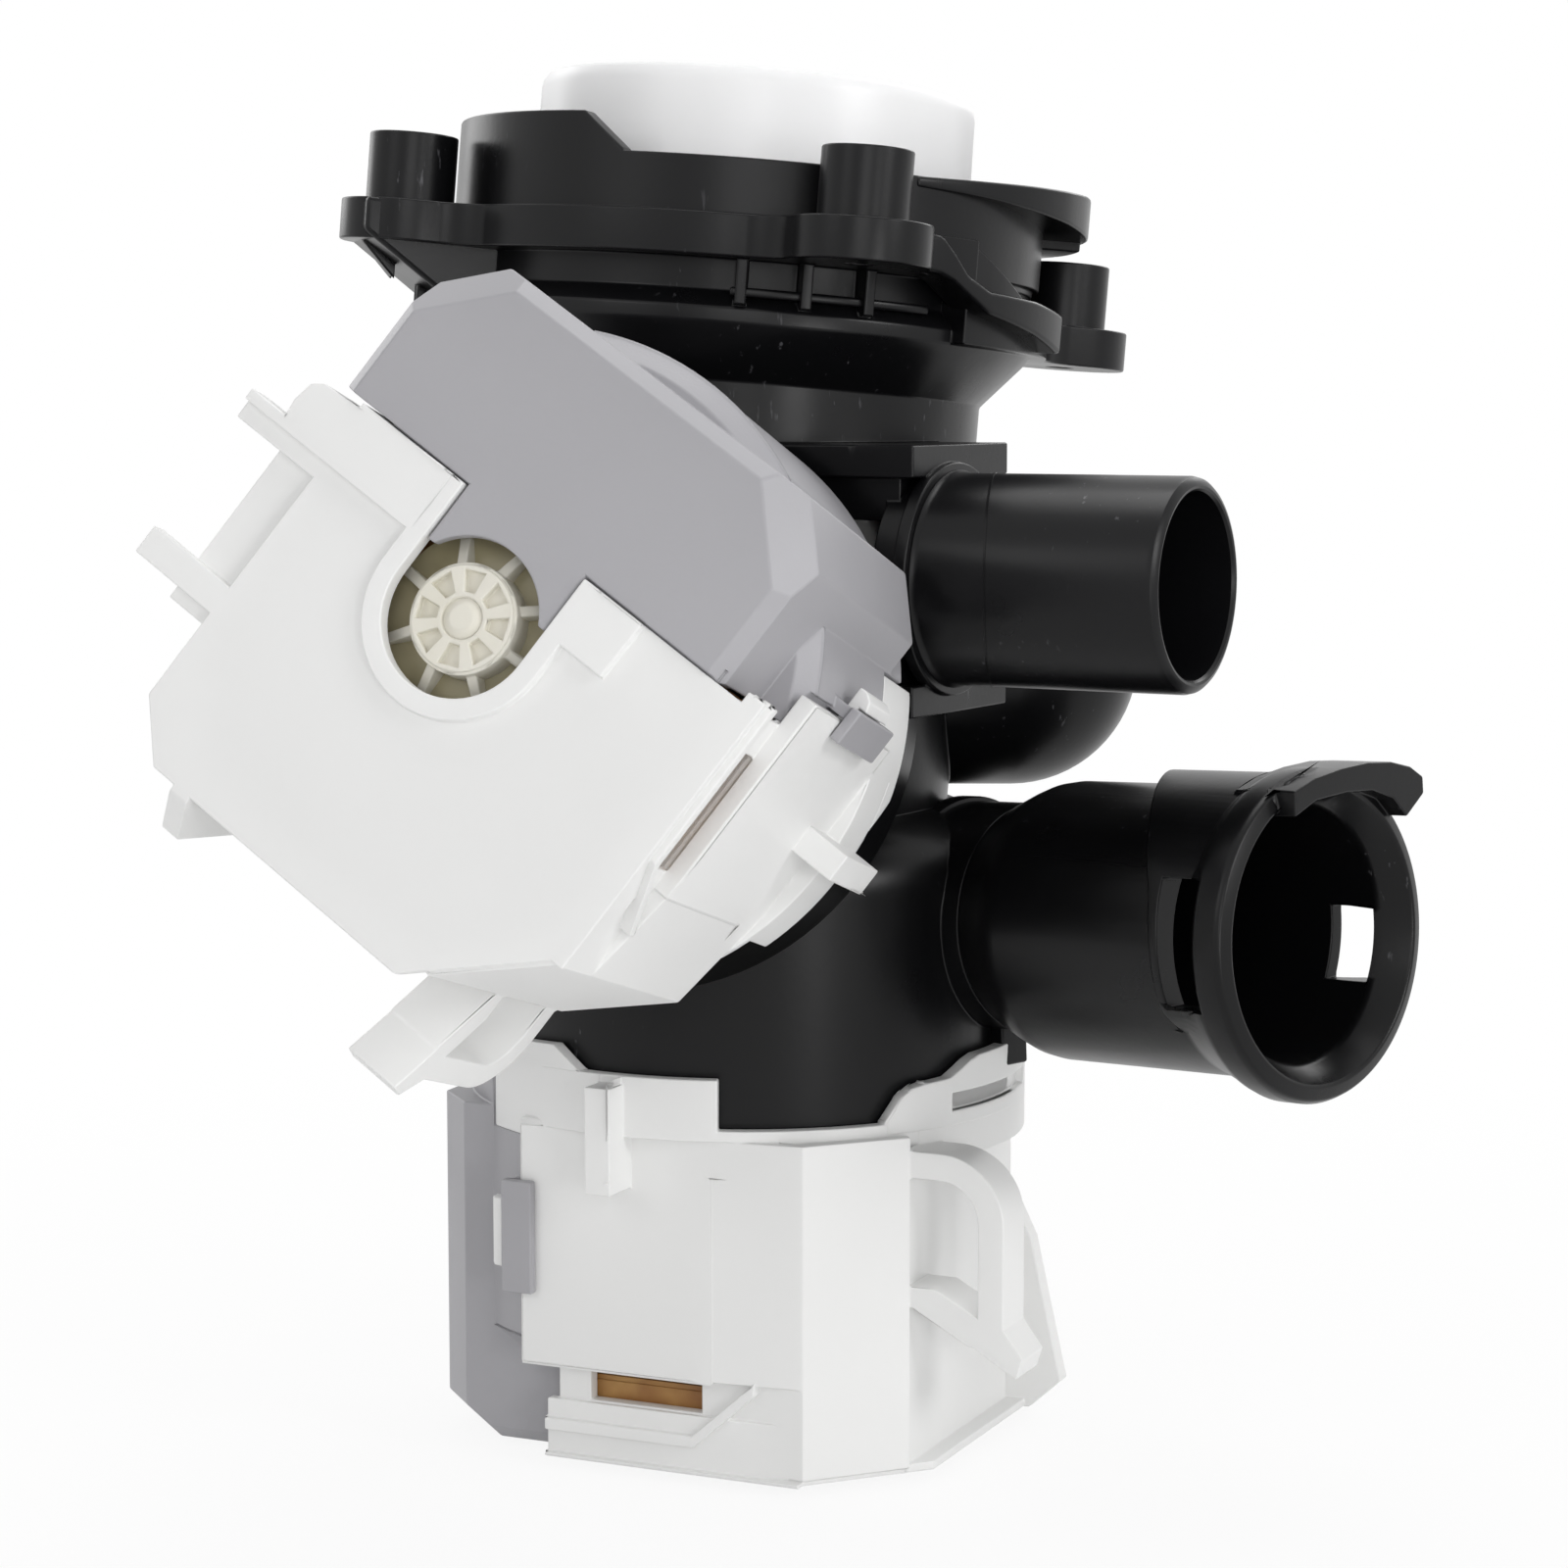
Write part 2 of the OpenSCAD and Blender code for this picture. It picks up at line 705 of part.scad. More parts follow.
// ring around the pump's rim on the carrier's side of the split, higher at
// the guard on the latch side, with one more step at the guard's end, and
// low beside the guard, where the pump's rim shows
module carrier_ring() {
    step = 2.5;
    low_ring = 0.6;
    rise = tan(guard_a1);
    difference() {
        intersection() {
            translate([0, 0, -guard_h - step]) cylinder(d = ring_od, h = guard_h + step + shelf_t + 3);
            translate([0, 0, -50]) linear_extrude(100) polygon([
                [-100, split_y], [-100, -100], [100, -100], [100, 100 * rise],
                [22, 22 * rise], [18, split_y],
            ]);
        }
        translate([0, 0, -50]) cylinder(r = ring_r, h = 50);
        translate([0, 0, -ring_h - 50]) ring_sector(20, ring_od, 100, 360 + guard_a0, 50);
        translate([0, 0, -guard_h - 50]) ring_sector(20, ring_od, guard_a0 - 4, 20, 50);
        translate([0, 0, -low_ring - 50]) ring_sector(20, ring_od, guard_a0 - 33, guard_a0 + 0.6, 50);
    }
}

module motor_carrier() {
    back = motor_l;
    foot = 2.5;
    slot = [-9.8, 8.3, board_z - 2.4, board_z + 3.2];
    guard_t = 2.4;
    dish = 0.8;
    lip = 3;
    color(white) {
        difference() {
            union() {
                // shelf under the pump's rim, and the ring around the rim
                cylinder(r = ring_r - 0.3, h = shelf_t);
                carrier_ring();
                // walls and base plate
                translate([0, 0, shelf_t - eps]) linear_extrude(back - shelf_t) wall_plan(0);
                translate([0, 0, back - foot]) linear_extrude(foot) base_plan();
            }
            // hollow
            translate([0, 0, shelf_t]) linear_extrude(back - foot - shelf_t) wall_plan(shell_t);
            translate([-100, split_y, shelf_t]) cube([200, 100, 100]);
            // can passes the shelf; round opening and slot in the base plate
            translate([0, 0, -1]) cylinder(r = can_bore / 2 + can_t + 0.3, h = shelf_t + 2);
            translate([0, 0, back - foot - 1]) cylinder(d = vent_d, h = foot + 2);
            translate([-vent_d / 2, 0, back - foot - 1]) cube([vent_d, 40, foot + 2]);
            // shallow dish that leaves a lip round the opening
            translate([0, 0, back - dish]) difference() {
                union() {
                    cylinder(r1 = vent_d / 2 + lip, r2 = vent_d / 2 + lip + 6, h = dish + eps);
                    for (s = [0, 1]) mirror([s, 0, 0]) rotate([90, 0, 180])
                        linear_extrude(split_y - 3) polygon([
                            [-vent_d / 2 - lip, 0], [-vent_d / 2 - lip - 5, dish + eps],
                            [-vent_d / 2, dish + eps], [-vent_d / 2, 0],
                        ]);
                }
                translate([0, 0, -1]) cylinder(d = vent_d + 2 * lip, h = dish + 2);
                translate([-vent_d / 2 - lip, 0, -1]) cube([vent_d + 2 * lip, 40, dish + 2]);
            }
            // window on the latch side
            translate([carrier_right - shell_t - 1, slot[0], slot[2]])
                cube([shell_t + 4, slot[1] - slot[0], slot[3] - slot[2]]);
            // opening for the terminals
            translate([-carrier_left - 1, -13, board_z - 6]) cube([shell_t + 2, 12, 9]);
        }
        // posts that carry the stator core, and bosses that carry the board
        for (a = [200, 250, 290, 340]) rotate(a) translate([post_in_r, 0, shelf_t - eps])
            cylinder(r = 2.2, h = core_z - shelf_t + eps);
        for (p = [[24, -25], [-22, -27], [26, 8], [-26, 8]])
            translate([p[0], p[1], board_z + board_t])
            cylinder(r = 2.2, h = back - foot - board_z - board_t + eps);
        translate([carrier_right - eps, -12.5, 0]) cube([guard_t, 31, 37]);
        translate([ring_od / 2 - 1, 0.5, -guard_h]) cube([6, 3.5, 15]);
        // ribs below the window
        translate([carrier_right - eps, -9, back - 7]) cube([1.8, 27, 1.8]);
        translate([carrier_right - eps, -26, back - 1.8]) cube([1.8, 44, 1.8]);
        translate([carrier_right - eps, -9, back - 7]) rotate([90, 0, 90]) linear_extrude(1.8)
            polygon([[0, 0], [0, 1.8], [-10, -7], [-10, -8.8]]);
        // hook that the cap's latch loop holds
        translate([carrier_right, 0, 12.2]) linear_extrude(10.2) polygon([
            [0.8, 17.5], [2.3, 17.5], [2.3, 21.1], [3.6, 21.1], [3.2, 22.6], [2, 23.4], [0.8, 23.4],
        ]);
        // round lug at the split on the terminal side
        translate([-carrier_left, 0, back - 9]) linear_extrude(8.9) polygon([
            [1.1, 12.9], [-6, 12.5], [-7.6, 11.4], [-8.2, 8.6], [-7.6, 5.6], [-6, 4.4], [1.1, 4.4],
        ]);
        // prongs and the strip between them
        translate([-carrier_left - 7, -22, back - 6]) cube([7 + eps, 29, 3]);
        for (y = [-20, 2]) translate([-carrier_left - 14, y, back - 4]) cube([14 + eps, 4.2, 4]);
        carrier_loop();
    }
}

module motor_cap() {
    back = motor_l - 0.6;
    taper = 2.5;
    drum = 33.5;
    roof = 4;
    reach = carrier_right + 2.7;
    color(grey) {
        difference() {
            union() {
                intersection() {
                    union() {
                        translate([0, 0, -ring_h]) cylinder(d = ring_od, h = ring_h + drum);
                        translate([0, 0, drum - eps]) cylinder(d1 = ring_od, d2 = ring_od - 2 * taper, h = taper);
                    }
                    half_plane(split_y + shell_gap, 1);
                }
                difference() {
                    linear_extrude(back) cap_plan(0);
                    cap_edges(back);
                }
                // tongue that closes the slot in the carrier's base plate
                translate([-vent_d / 2 + shell_gap, vent_d / 4, back - 1.8])
                    cube([vent_d - 2 * shell_gap, split_y, 1.8]);
            }
            translate([0, 0, -ring_h - 1]) cylinder(r = ring_r, h = ring_h + shelf_t + 1 + 0.2);
            translate([0, 0, shelf_t]) linear_extrude(back - shelf_t - roof) cap_plan(shell_t);
            translate([0, 0, shelf_t + 0.2 - eps]) difference() {
                intersection() {
                    cylinder(r = ring_od / 2 - shell_t, h = drum - shelf_t - 1);
                    half_plane(split_y + shell_gap - 1, 1);
                }
                translate([cap_half - shell_t - 0.5, 0, -50]) cube([50, 21, 150]);
            }
            translate([0, 0, back - 5]) cylinder(d = vent_d, h = 6);
            translate([0, 0, -20]) cylinder(d = vent_d + 8, h = 20 + back - 1.8);
            // room for the carrier's guard and its side wall
            translate([0, 0, -ring_h - 1]) sector(ring_od, guard_a0, guard_a1 + 0.6, ring_h + 1 + shelf_t);
            translate([carrier_right - shell_gap, 0, -ring_h]) cube([20, 19 + shell_gap, 46]);
        }
        // latch loop that takes the carrier's hook
        translate([reach, 15.9, 9.2]) cube([1.6, 5, 16.8]);
        for (z = [9.5, 23.2]) translate([cap_half, 18.9, z]) cube([reach + 1 - cap_half, 1.7, 2.2]);
    }
}

// cup that keeps the water from the stator: flange, wall and ribbed closed end
module rotor_can() {
    r = can_bore / 2 + can_t;
    hub_r = 7.3;
    flange_d = seat_d - 0.6;
    color(beige) {
        difference() {
            union() {
                translate([0, 0, -seat_h]) cylinder(d = flange_d, h = seat_h);
                cylinder(r = r, h = can_end);
                translate([0, 0, can_end - eps]) cylinder(r = hub_r, h = motor_l - can_end - 1.6);
                for (i = [0 : can_ribs - 1]) rotate(i * 360 / can_ribs)
                    translate([0, -0.7, can_end - eps]) rotate([90, 0, 0]) translate([0, 0, -1.4])
                    linear_extrude(1.4) polygon([
                        [hub_r - 1, 0], [r, 0], [r, 2.2], [hub_r - 1, motor_l - can_end - 2.2],
                    ]);
            }
            translate([0, 0, -seat_h - 1]) cylinder(d = can_bore, h = seat_h + can_end - can_t + 1);
            // groove for the rubber ring
            translate([0, 0, -seat_h - eps])
                tube(flange_d / 2 - 1.2, flange_d / 2 - 1.2 - ring_d - 0.6, ring_d + eps);
            // cored pockets round the middle of the hub
            for (i = [0 : can_ribs - 1]) rotate((i + 0.5) * 360 / can_ribs)
                translate([4.9, 0, motor_l - 4]) cylinder(r = 1.1, h = 4);
        }
        translate([0, 0, motor_l - 1.6 - eps]) cylinder(r1 = 2.6, r2 = 1.6, h = 0.7);
        // cup inside for the rear bush
        translate([0, 0, can_end - can_t - bush_l]) tube(shaft_d / 2 + 4, shaft_d / 2 + 2.55, bush_l + eps);
    }
}

module can_seal() {
    flange_d = seat_d - 0.6;
    r = flange_d / 2 - 1.2 - ring_d / 2 - 0.3;
    color(rubber) translate([0, 0, -seat_h + ring_d / 2])
        rotate_extrude() translate([r, 0]) circle(d = ring_d);
}

module stator_core() {
    r = core_d / 2;
    r_in = can_bore / 2 + can_t + 0.6;
    shoe = 3;
    color(steel) translate([0, 0, core_z]) linear_extrude(core_l) {
        difference() {
            circle(r);
            circle(r - yoke);
        }
        difference() {
            union() {
                for (i = [0 : teeth - 1]) rotate((i + 0.5) * 360 / teeth) {
                    translate([r_in, -3]) square([r - yoke - r_in + 1, 6]);
                    translate([r_in - 1, -5.5]) square([shoe + 1, 11]);
                }
            }
            circle(r_in);
        }
    }
}

// one coil on each tooth
module stator_coils() {
    r_in = can_bore / 2 + can_t + 0.6 + 3 + 0.2;
    gap = 0.2;
    half = 5.2;
    yoke_r = core_d / 2 - yoke - gap;
    r_out = sqrt(yoke_r * yoke_r - half * half);
    color(copper) for (i = [0 : teeth - 1]) rotate((i + 0.5) * 360 / teeth)
        difference() {
            translate([r_in, -half, core_z - coil_over])
                cube([r_out - r_in, 2 * half, core_l + 2 * coil_over]);
            translate([r_in - 1, -3 - gap, core_z - gap])
                cube([r_out - r_in + 2, 6 + 2 * gap, core_l + 2 * gap]);
        }
}

module driver_board() {
    g = shell_t + 0.4;
    half = min(cap_half, carrier_left) - g - 1;
    c = 11.5;
    right = carrier_right - g;
    left = -carrier_left + g;
    low = -carrier_deep + carrier_inset + g;
    step = split_y - shell_gap;
    top = cap_deep - 14;
    color(phenolic) translate([0, 0, board_z]) linear_extrude(board_t) difference() {
        polygon([
            [right, step], [right, low + c], [right - c, low], [left + c, low], [left, low + c],
            [left, step], [-half, step], [-half, top], [half, top], [half, step],
        ]);
        circle(can_bore / 2 + can_t + 0.6);
    }
}

module terminals() {
    color(steel) for (y = [-11, -7, -3])
        translate([-carrier_left - 5, y - 1.2, board_z - 0.8]) cube([13, 2.4, 0.8]);
}

module front_bush() {
    color(steel) translate([0, 0, -seat_h]) tube(can_bore / 2 - 0.02, shaft_d / 2 + bush_gap, bush_l);
}

module rear_bush() {
    color(steel) translate([0, 0, can_end - can_t - bush_l])
        tube(shaft_d / 2 + 2.5, shaft_d / 2 + bush_gap, bush_l);
}

module rotor_magnet() {
    color(ferrite) translate([0, 0, magnet_z]) tube(magnet_d / 2, shaft_d / 2 + 0.02, magnet_l);
}

module rotor_shaft(tip) {
    color(steel) translate([0, 0, -tip])
        cylinder(d = shaft_d, h = tip + can_end - can_t - 0.6);
}

// backward-curved vanes on a hub and a back plate
module impeller(d, vane_h) {
    hub_r = 6;
    plate = 1.6;
    run = 1.2;
    sweep = d * 0.42;
    color(white) translate([0, 0, -seat_h - run]) mirror([0, 0, 1]) difference() {
        union() {
            cylinder(d = d - 2, h = plate);
            cylinder(r = hub_r, h = plate + vane_h * 0.8);
            for (i = [0 : vanes - 1]) rotate(i * 360 / vanes)
                linear_extrude(plate + vane_h) intersection() {
                    translate([0, sweep]) difference() {
                        circle(sweep + 0.8);
                        circle(sweep - 0.8);
                    }
                    circle(d / 2);
                    translate([0, -1]) square([d, d]);
                    difference() {
                        circle(d);
                        circle(hub_r - 1);
                    }
                }
        }
        translate([0, 0, -1]) cylinder(r = shaft_d / 2 + 0.02, h = plate + vane_h * 0.8 - 1);
    }
}

module drain_motor_carrier() { in_drain() motor_carrier(); }
module drain_motor_cap() { in_drain() motor_cap(); }
module drain_rotor_can() { in_drain() rotor_can(); }
module drain_can_seal() { in_drain() can_seal(); }
module drain_stator_core() { in_drain() stator_core(); }
module drain_stator_coils() { in_drain() stator_coils(); }
module drain_driver_board() { in_drain() driver_board(); }
module drain_terminals() { in_drain() terminals(); }
module drain_front_bush() { in_drain() front_bush(); }
module drain_rear_bush() { in_drain() rear_bush(); }
module drain_rotor_magnet() { in_drain() rotor_magnet(); }
module drain_rotor_shaft() { in_drain() rotor_shaft(12); }
module drain_impeller() { in_drain() impeller(drain_impeller_d, drain_vane_h); }

module circulation_motor_carrier() { in_circ() motor_carrier(); }
module circulation_motor_cap() { in_circ() motor_cap(); }
module circulation_rotor_can() { in_circ() rotor_can(); }
module circulation_can_seal() { in_circ() can_seal(); }
module circulation_stator_core() { in_circ() stator_core(); }
module circulation_stator_coils() { in_circ() stator_coils(); }
module circulation_driver_board() { in_circ() driver_board(); }
module circulation_terminals() { in_circ() terminals(); }
module circulation_front_bush() { in_circ() front_bush(); }
module circulation_rear_bush() { in_circ() rear_bush(); }
module circulation_rotor_magnet() { in_circ() rotor_magnet(); }
module circulation_rotor_shaft() { in_circ() rotor_shaft(8); }
module circulation_impeller() { in_circ() impeller(circ_impeller_d, circ_vane_h); }

pump_housing();
circulation_outlet();
drain_socket();
inlet_spout();
filter_knob();
filter_cage();
filter_seal();
drain_motor_carrier();
drain_motor_cap();
drain_rotor_can();
drain_can_seal();
drain_stator_core();
drain_stator_coils();
drain_driver_board();
drain_terminals();
drain_front_bush();
drain_rear_bush();
drain_rotor_magnet();
drain_rotor_shaft();
drain_impeller();
circulation_motor_carrier();
circulation_motor_cap();
circulation_rotor_can();
circulation_can_seal();
circulation_stator_core();
circulation_stator_coils();
circulation_driver_board();
circulation_terminals();
circulation_front_bush();
circulation_rear_bush();
circulation_rotor_magnet();
circulation_rotor_shaft();
circulation_impeller();
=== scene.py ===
import json
import math
import bpy
from mathutils import Matrix, Vector


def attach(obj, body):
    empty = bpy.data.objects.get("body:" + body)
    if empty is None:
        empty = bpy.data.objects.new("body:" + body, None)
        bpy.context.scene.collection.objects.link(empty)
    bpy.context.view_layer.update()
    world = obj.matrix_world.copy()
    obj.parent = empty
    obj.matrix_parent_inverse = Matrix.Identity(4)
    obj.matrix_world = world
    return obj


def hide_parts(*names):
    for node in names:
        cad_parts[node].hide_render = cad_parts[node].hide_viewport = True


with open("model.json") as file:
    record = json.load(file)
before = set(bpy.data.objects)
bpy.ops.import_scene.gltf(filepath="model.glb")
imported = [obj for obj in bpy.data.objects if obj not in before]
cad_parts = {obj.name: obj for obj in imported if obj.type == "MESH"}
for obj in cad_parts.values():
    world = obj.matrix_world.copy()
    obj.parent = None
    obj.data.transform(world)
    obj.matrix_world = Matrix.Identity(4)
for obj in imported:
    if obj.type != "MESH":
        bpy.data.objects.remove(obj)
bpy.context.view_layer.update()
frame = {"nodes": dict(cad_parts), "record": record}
nodes = frame["nodes"]
print("frame loaded:", len(nodes), "nodes")

motors = ("drain", "circulation")


# places of the pump's own frames, the same numbers as the solids, in millimetres

def turn(axis, degrees):
    return Matrix.Rotation(math.radians(degrees), 4, axis)


def shift(x, y, z):
    return Matrix.Translation(Vector((x, y, z)) / 1000)


baseFrame = shift(-8.83, 25.13, 0)
filterFrame = baseFrame @ shift(0, 4, 181) @ turn("Y", 4.5) @ turn("X", -2)
drainFrame = baseFrame @ shift(0, 0, 52) @ turn("Z", -114.5) @ turn("X", 180)
circFrame = (baseFrame @ shift(-5.6, -0.5, 103.5) @ turn("Z", -17) @ turn("X", 75.5)
             @ shift(0, 0, 54) @ turn("Z", -35))
outletFrame = baseFrame @ shift(30, -40, 131.6) @ turn("Z", -29.3) @ turn("Y", 90)
socketFrame = (baseFrame @ shift(0, 0, 80.2) @ turn("Z", -45)
               @ shift(43.3, 17, 0) @ turn("Y", 87))
motorFrames = {"drain": drainFrame, "circulation": circFrame}


# camera at the photo's angle, floor and light

camera = {"place": (-3.435, -538.583, 159.237), "pitch": 6.19, "lensPixels": 3776.36, "photo": 1600,
          "sensor": 36, "clip": (0.01, 20)}


def addCamera():
    bpy.ops.object.camera_add(location=Vector(camera["place"]) / 1000,
                              rotation=(math.radians(90 - camera["pitch"]), 0, 0))
    cam = bpy.context.object
    cam.data.sensor_width = camera["sensor"]
    cam.data.lens = camera["sensor"] * camera["lensPixels"] / camera["photo"]
    cam.data.clip_start, cam.data.clip_end = camera["clip"]
    bpy.context.scene.camera = cam


studio = {
    "world": 0.4,
    "lamps": (
        ("rightBox", (0.85, -0.6, 0.5), 0.35, 3.0),
        ("lowBox", (0.5, -0.95, 0.1), 0.22, 1.4),
        ("leftBox", (-0.8, -0.7, 0.65), 0.45, 1.25),
        ("frontBox", (0.0, -1.15, 0.4), 0.45, 1.4),
        ("topBox", (0.05, 0.15, 1.0), 0.5, 2.6),
        ("rearBox", (0.5, 0.8, 0.7), 0.5, 2.2),
        ("rearLeftBox", (-0.7, 0.7, 0.5), 0.5, 1.7),
    ),
    "target": (0, 0, 0.1),
    "floor": 6.0, "floorPlace": (0, 0, -0.0004), "floorWhite": 0.9, "floorRough": 0.9,
    "nearReach": 0.1, "nearShare": 0.9,
    "farReach": 0.35, "farShare": 1.0,
}


# share of the plain white that camera, glossy and transmission rays see
def seenShare(tree):
    path = tree.nodes.new("ShaderNodeLightPath")
    first = tree.nodes.new("ShaderNodeMath")
    first.operation = "ADD"
    tree.links.new(path.outputs["Is Camera Ray"], first.inputs[0])
    tree.links.new(path.outputs["Is Glossy Ray"], first.inputs[1])
    both = tree.nodes.new("ShaderNodeMath")
    both.operation = "ADD"
    both.use_clamp = True
    tree.links.new(first.outputs[0], both.inputs[0])
    tree.links.new(path.outputs["Is Transmission Ray"], both.inputs[1])
    return both.outputs[0]


def addWorld():
    scene = bpy.context.scene
    scene.view_settings.view_transform = "Standard"
    world = bpy.data.worlds.new("studioWorld")
    scene.world = world
    world.use_nodes = True
    tree = world.node_tree
    background = tree.nodes["Background"]
    background.inputs["Color"].default_value = (1, 1, 1, 1)
    background.inputs["Strength"].default_value = studio["world"]
    seen = tree.nodes.new("ShaderNodeBackground")
    seen.inputs["Color"].default_value = (1, 1, 1, 1)
    mix = tree.nodes.new("ShaderNodeMixShader")
    tree.links.new(seenShare(tree), mix.inputs["Fac"])
    tree.links.new(background.outputs[0], mix.inputs[1])
    tree.links.new(seen.outputs[0], mix.inputs[2])
    tree.links.new(mix.outputs[0], tree.nodes["World Output"].inputs["Surface"])


def addLamps():
    for name, place, size, watts in studio["lamps"]:
        aim = Vector(studio["target"]) - Vector(place)
        bpy.ops.object.light_add(type="AREA", location=place,
                                 rotation=aim.to_track_quat("-Z", "Y").to_euler())
        lamp = bpy.context.object
        lamp.name = name
        lamp.data.shape = "SQUARE"
        lamp.data.size = size
        lamp.data.energy = watts


# white floor that keeps the part's shadow close by
def addFloor():
    bpy.ops.mesh.primitive_plane_add(size=studio["floor"], location=studio["floorPlace"])
    floor = bpy.context.object
    floor.name = "studioFloor"
    paint = bpy.data.materials.new("floorPaint")
    paint.use_nodes = True
    tree = paint.node_tree
    shader = tree.nodes["Principled BSDF"]
    shader.inputs["Base Color"].default_value = (*[studio["floorWhite"]] * 3, 1)
    shader.inputs["Roughness"].default_value = studio["floorRough"]
    glow = tree.nodes.new("ShaderNodeEmission")
    glow.inputs["Color"].default_value = (1, 1, 1, 1)
    where = tree.nodes.new("ShaderNodeTexCoord")
    away = tree.nodes.new("ShaderNodeVectorMath")
    away.operation = "LENGTH"
    tree.links.new(where.outputs["Object"], away.inputs[0])
    near = tree.nodes.new("ShaderNodeMapRange")
    near.inputs["From Min"].default_value = studio["nearReach"]
    near.inputs["From Max"].default_value = studio["farReach"]
    near.inputs["To Min"].default_value = studio["nearShare"]
    near.inputs["To Max"].default_value = studio["farShare"]
    tree.links.new(away.outputs["Value"], near.inputs["Value"])
    share = tree.nodes.new("ShaderNodeMath")
    share.operation = "MULTIPLY"
    tree.links.new(seenShare(tree), share.inputs[0])
    tree.links.new(near.outputs["Result"], share.inputs[1])
    mix = tree.nodes.new("ShaderNodeMixShader")
    tree.links.new(share.outputs[0], mix.inputs["Fac"])
    tree.links.new(shader.outputs[0], mix.inputs[1])
    tree.links.new(glow.outputs[0], mix.inputs[2])
    tree.links.new(mix.outputs[0], tree.nodes["Material Output"].inputs["Surface"])
    floor.data.materials.append(paint)


addCamera()
addWorld()
addLamps()
addFloor()
print("camera, lamps and floor set")


# finishes

finishShape = {
    "cloudDetail": 2.0, "tintSpan": (0.3, 0.7),
    "scratchDetail": 6.0, "scratchSpan": (0.66, 0.74),
    "patchScale": 22.0, "patchDetail": 1.0, "patchSpan": (0.52, 0.66),
    "rubDetail": 4.0, "streakDetail": 4.0, "grainDetail": 4.0,
    "plasticDepth": 0.0002, "metalDepth": 0.0001, "shine": 0.5, "glowReach": 0.004,
}


def newFinish(name):
    paint = bpy.data.materials.new(name)
    paint.use_nodes = True
    return paint, paint.node_tree, paint.node_tree.nodes["Principled BSDF"]


def addNoise(tree, scale, detail, stretch=(1, 1, 1)):
    where = tree.nodes.new("ShaderNodeTexCoord")
    spread = tree.nodes.new("ShaderNodeMapping")
    spread.inputs["Scale"].default_value = stretch
    noise = tree.nodes.new("ShaderNodeTexNoise")
    noise.inputs["Scale"].default_value = scale
    noise.inputs["Detail"].default_value = detail
    tree.links.new(where.outputs["Object"], spread.inputs["Vector"])
    tree.links.new(spread.outputs["Vector"], noise.inputs["Vector"])
    return noise


def addRamp(tree, source, low, high, lowColour, highColour):
    ramp = tree.nodes.new("ShaderNodeValToRGB")
    ramp.color_ramp.elements[0].position = low
    ramp.color_ramp.elements[0].color = (*lowColour, 1)
    ramp.color_ramp.elements[1].position = high
    ramp.color_ramp.elements[1].color = (*highColour, 1)
    tree.links.new(source, ramp.inputs["Fac"])
    return ramp


def addSpan(tree, source, low, high):
    span = tree.nodes.new("ShaderNodeMapRange")
    span.inputs["To Min"].default_value = low
    span.inputs["To Max"].default_value = high
    tree.links.new(source, span.inputs["Value"])
    return span


def addBump(tree, shader, source, strength, depth):
    bump = tree.nodes.new("ShaderNodeBump")
    bump.inputs["Strength"].default_value = strength
    bump.inputs["Distance"].default_value = depth
    tree.links.new(source, bump.inputs["Height"])
    tree.links.new(bump.outputs["Normal"], shader.inputs["Normal"])


def linear(hexColour):
    parts = [int(hexColour[i:i + 2], 16) / 255 for i in (1, 3, 5)]
    return tuple(p / 12.92 if p <= 0.04045 else ((p + 0.055) / 1.055) ** 2.4 for p in parts)


# fine scratches in patches over the plain colour
def addScuffs(tree, look, colour):
    scratch = addNoise(tree, look["scuffScale"], finishShape["scratchDetail"], look["scuffStretch"])
    mask = addRamp(tree, scratch.outputs["Fac"], *finishShape["scratchSpan"], (0, 0, 0), (1, 1, 1))
    patch = addNoise(tree, finishShape["patchScale"], finishShape["patchDetail"])
    gate = addRamp(tree, patch.outputs["Fac"], *finishShape["patchSpan"], (0, 0, 0), (1, 1, 1))
    both = tree.nodes.new("ShaderNodeMath")
    both.operation = "MULTIPLY"
    tree.links.new(mask.outputs["Color"], both.inputs[0])
    tree.links.new(gate.outputs["Color"], both.inputs[1])
    share = tree.nodes.new("ShaderNodeMath")
    share.operation = "MULTIPLY"
    share.inputs[1].default_value = look["scuffShare"]
    tree.links.new(both.outputs[0], share.inputs[0])
    worn = tree.nodes.new("ShaderNodeMix")
    worn.data_type = "RGBA"
    tree.links.new(share.outputs[0], worn.inputs["Factor"])
    tree.links.new(colour, worn.inputs["A"])
    worn.inputs["B"].default_value = (*linear(look["scuff"]), 1)
    return worn.outputs["Result"]


def plasticFinish(name, look):
    paint, tree, shader = newFinish(name)
    cloud = addNoise(tree, look["cloud"], finishShape["cloudDetail"])
    tint = addRamp(tree, cloud.outputs["Fac"], *finishShape["tintSpan"],
                   linear(look["dark"]), linear(look["light"]))
    colour = tint.outputs["Color"]
    if "scuff" in look:
        colour = addScuffs(tree, look, colour)
    tree.links.new(colour, shader.inputs["Base Color"])
    rub = addNoise(tree, look["rubScale"], finishShape["rubDetail"])
    rough = addSpan(tree, rub.outputs["Fac"], *look["rough"])
    tree.links.new(rough.outputs["Result"], shader.inputs["Roughness"])
    shader.inputs["Specular IOR Level"].default_value = look.get("shine", finishShape["shine"])
    if "glow" in look:
        shader.inputs["Subsurface Weight"].default_value = look["glow"]
        reach = look.get("glowReach", finishShape["glowReach"])
        shader.inputs["Subsurface Radius"].default_value = [reach] * 3
        shader.inputs["Subsurface Scale"].default_value = 1.0
    grain = addNoise(tree, look["grainScale"], finishShape["grainDetail"])
    addBump(tree, shader, grain.outputs["Fac"], look["grain"], finishShape["plasticDepth"])
    return paint


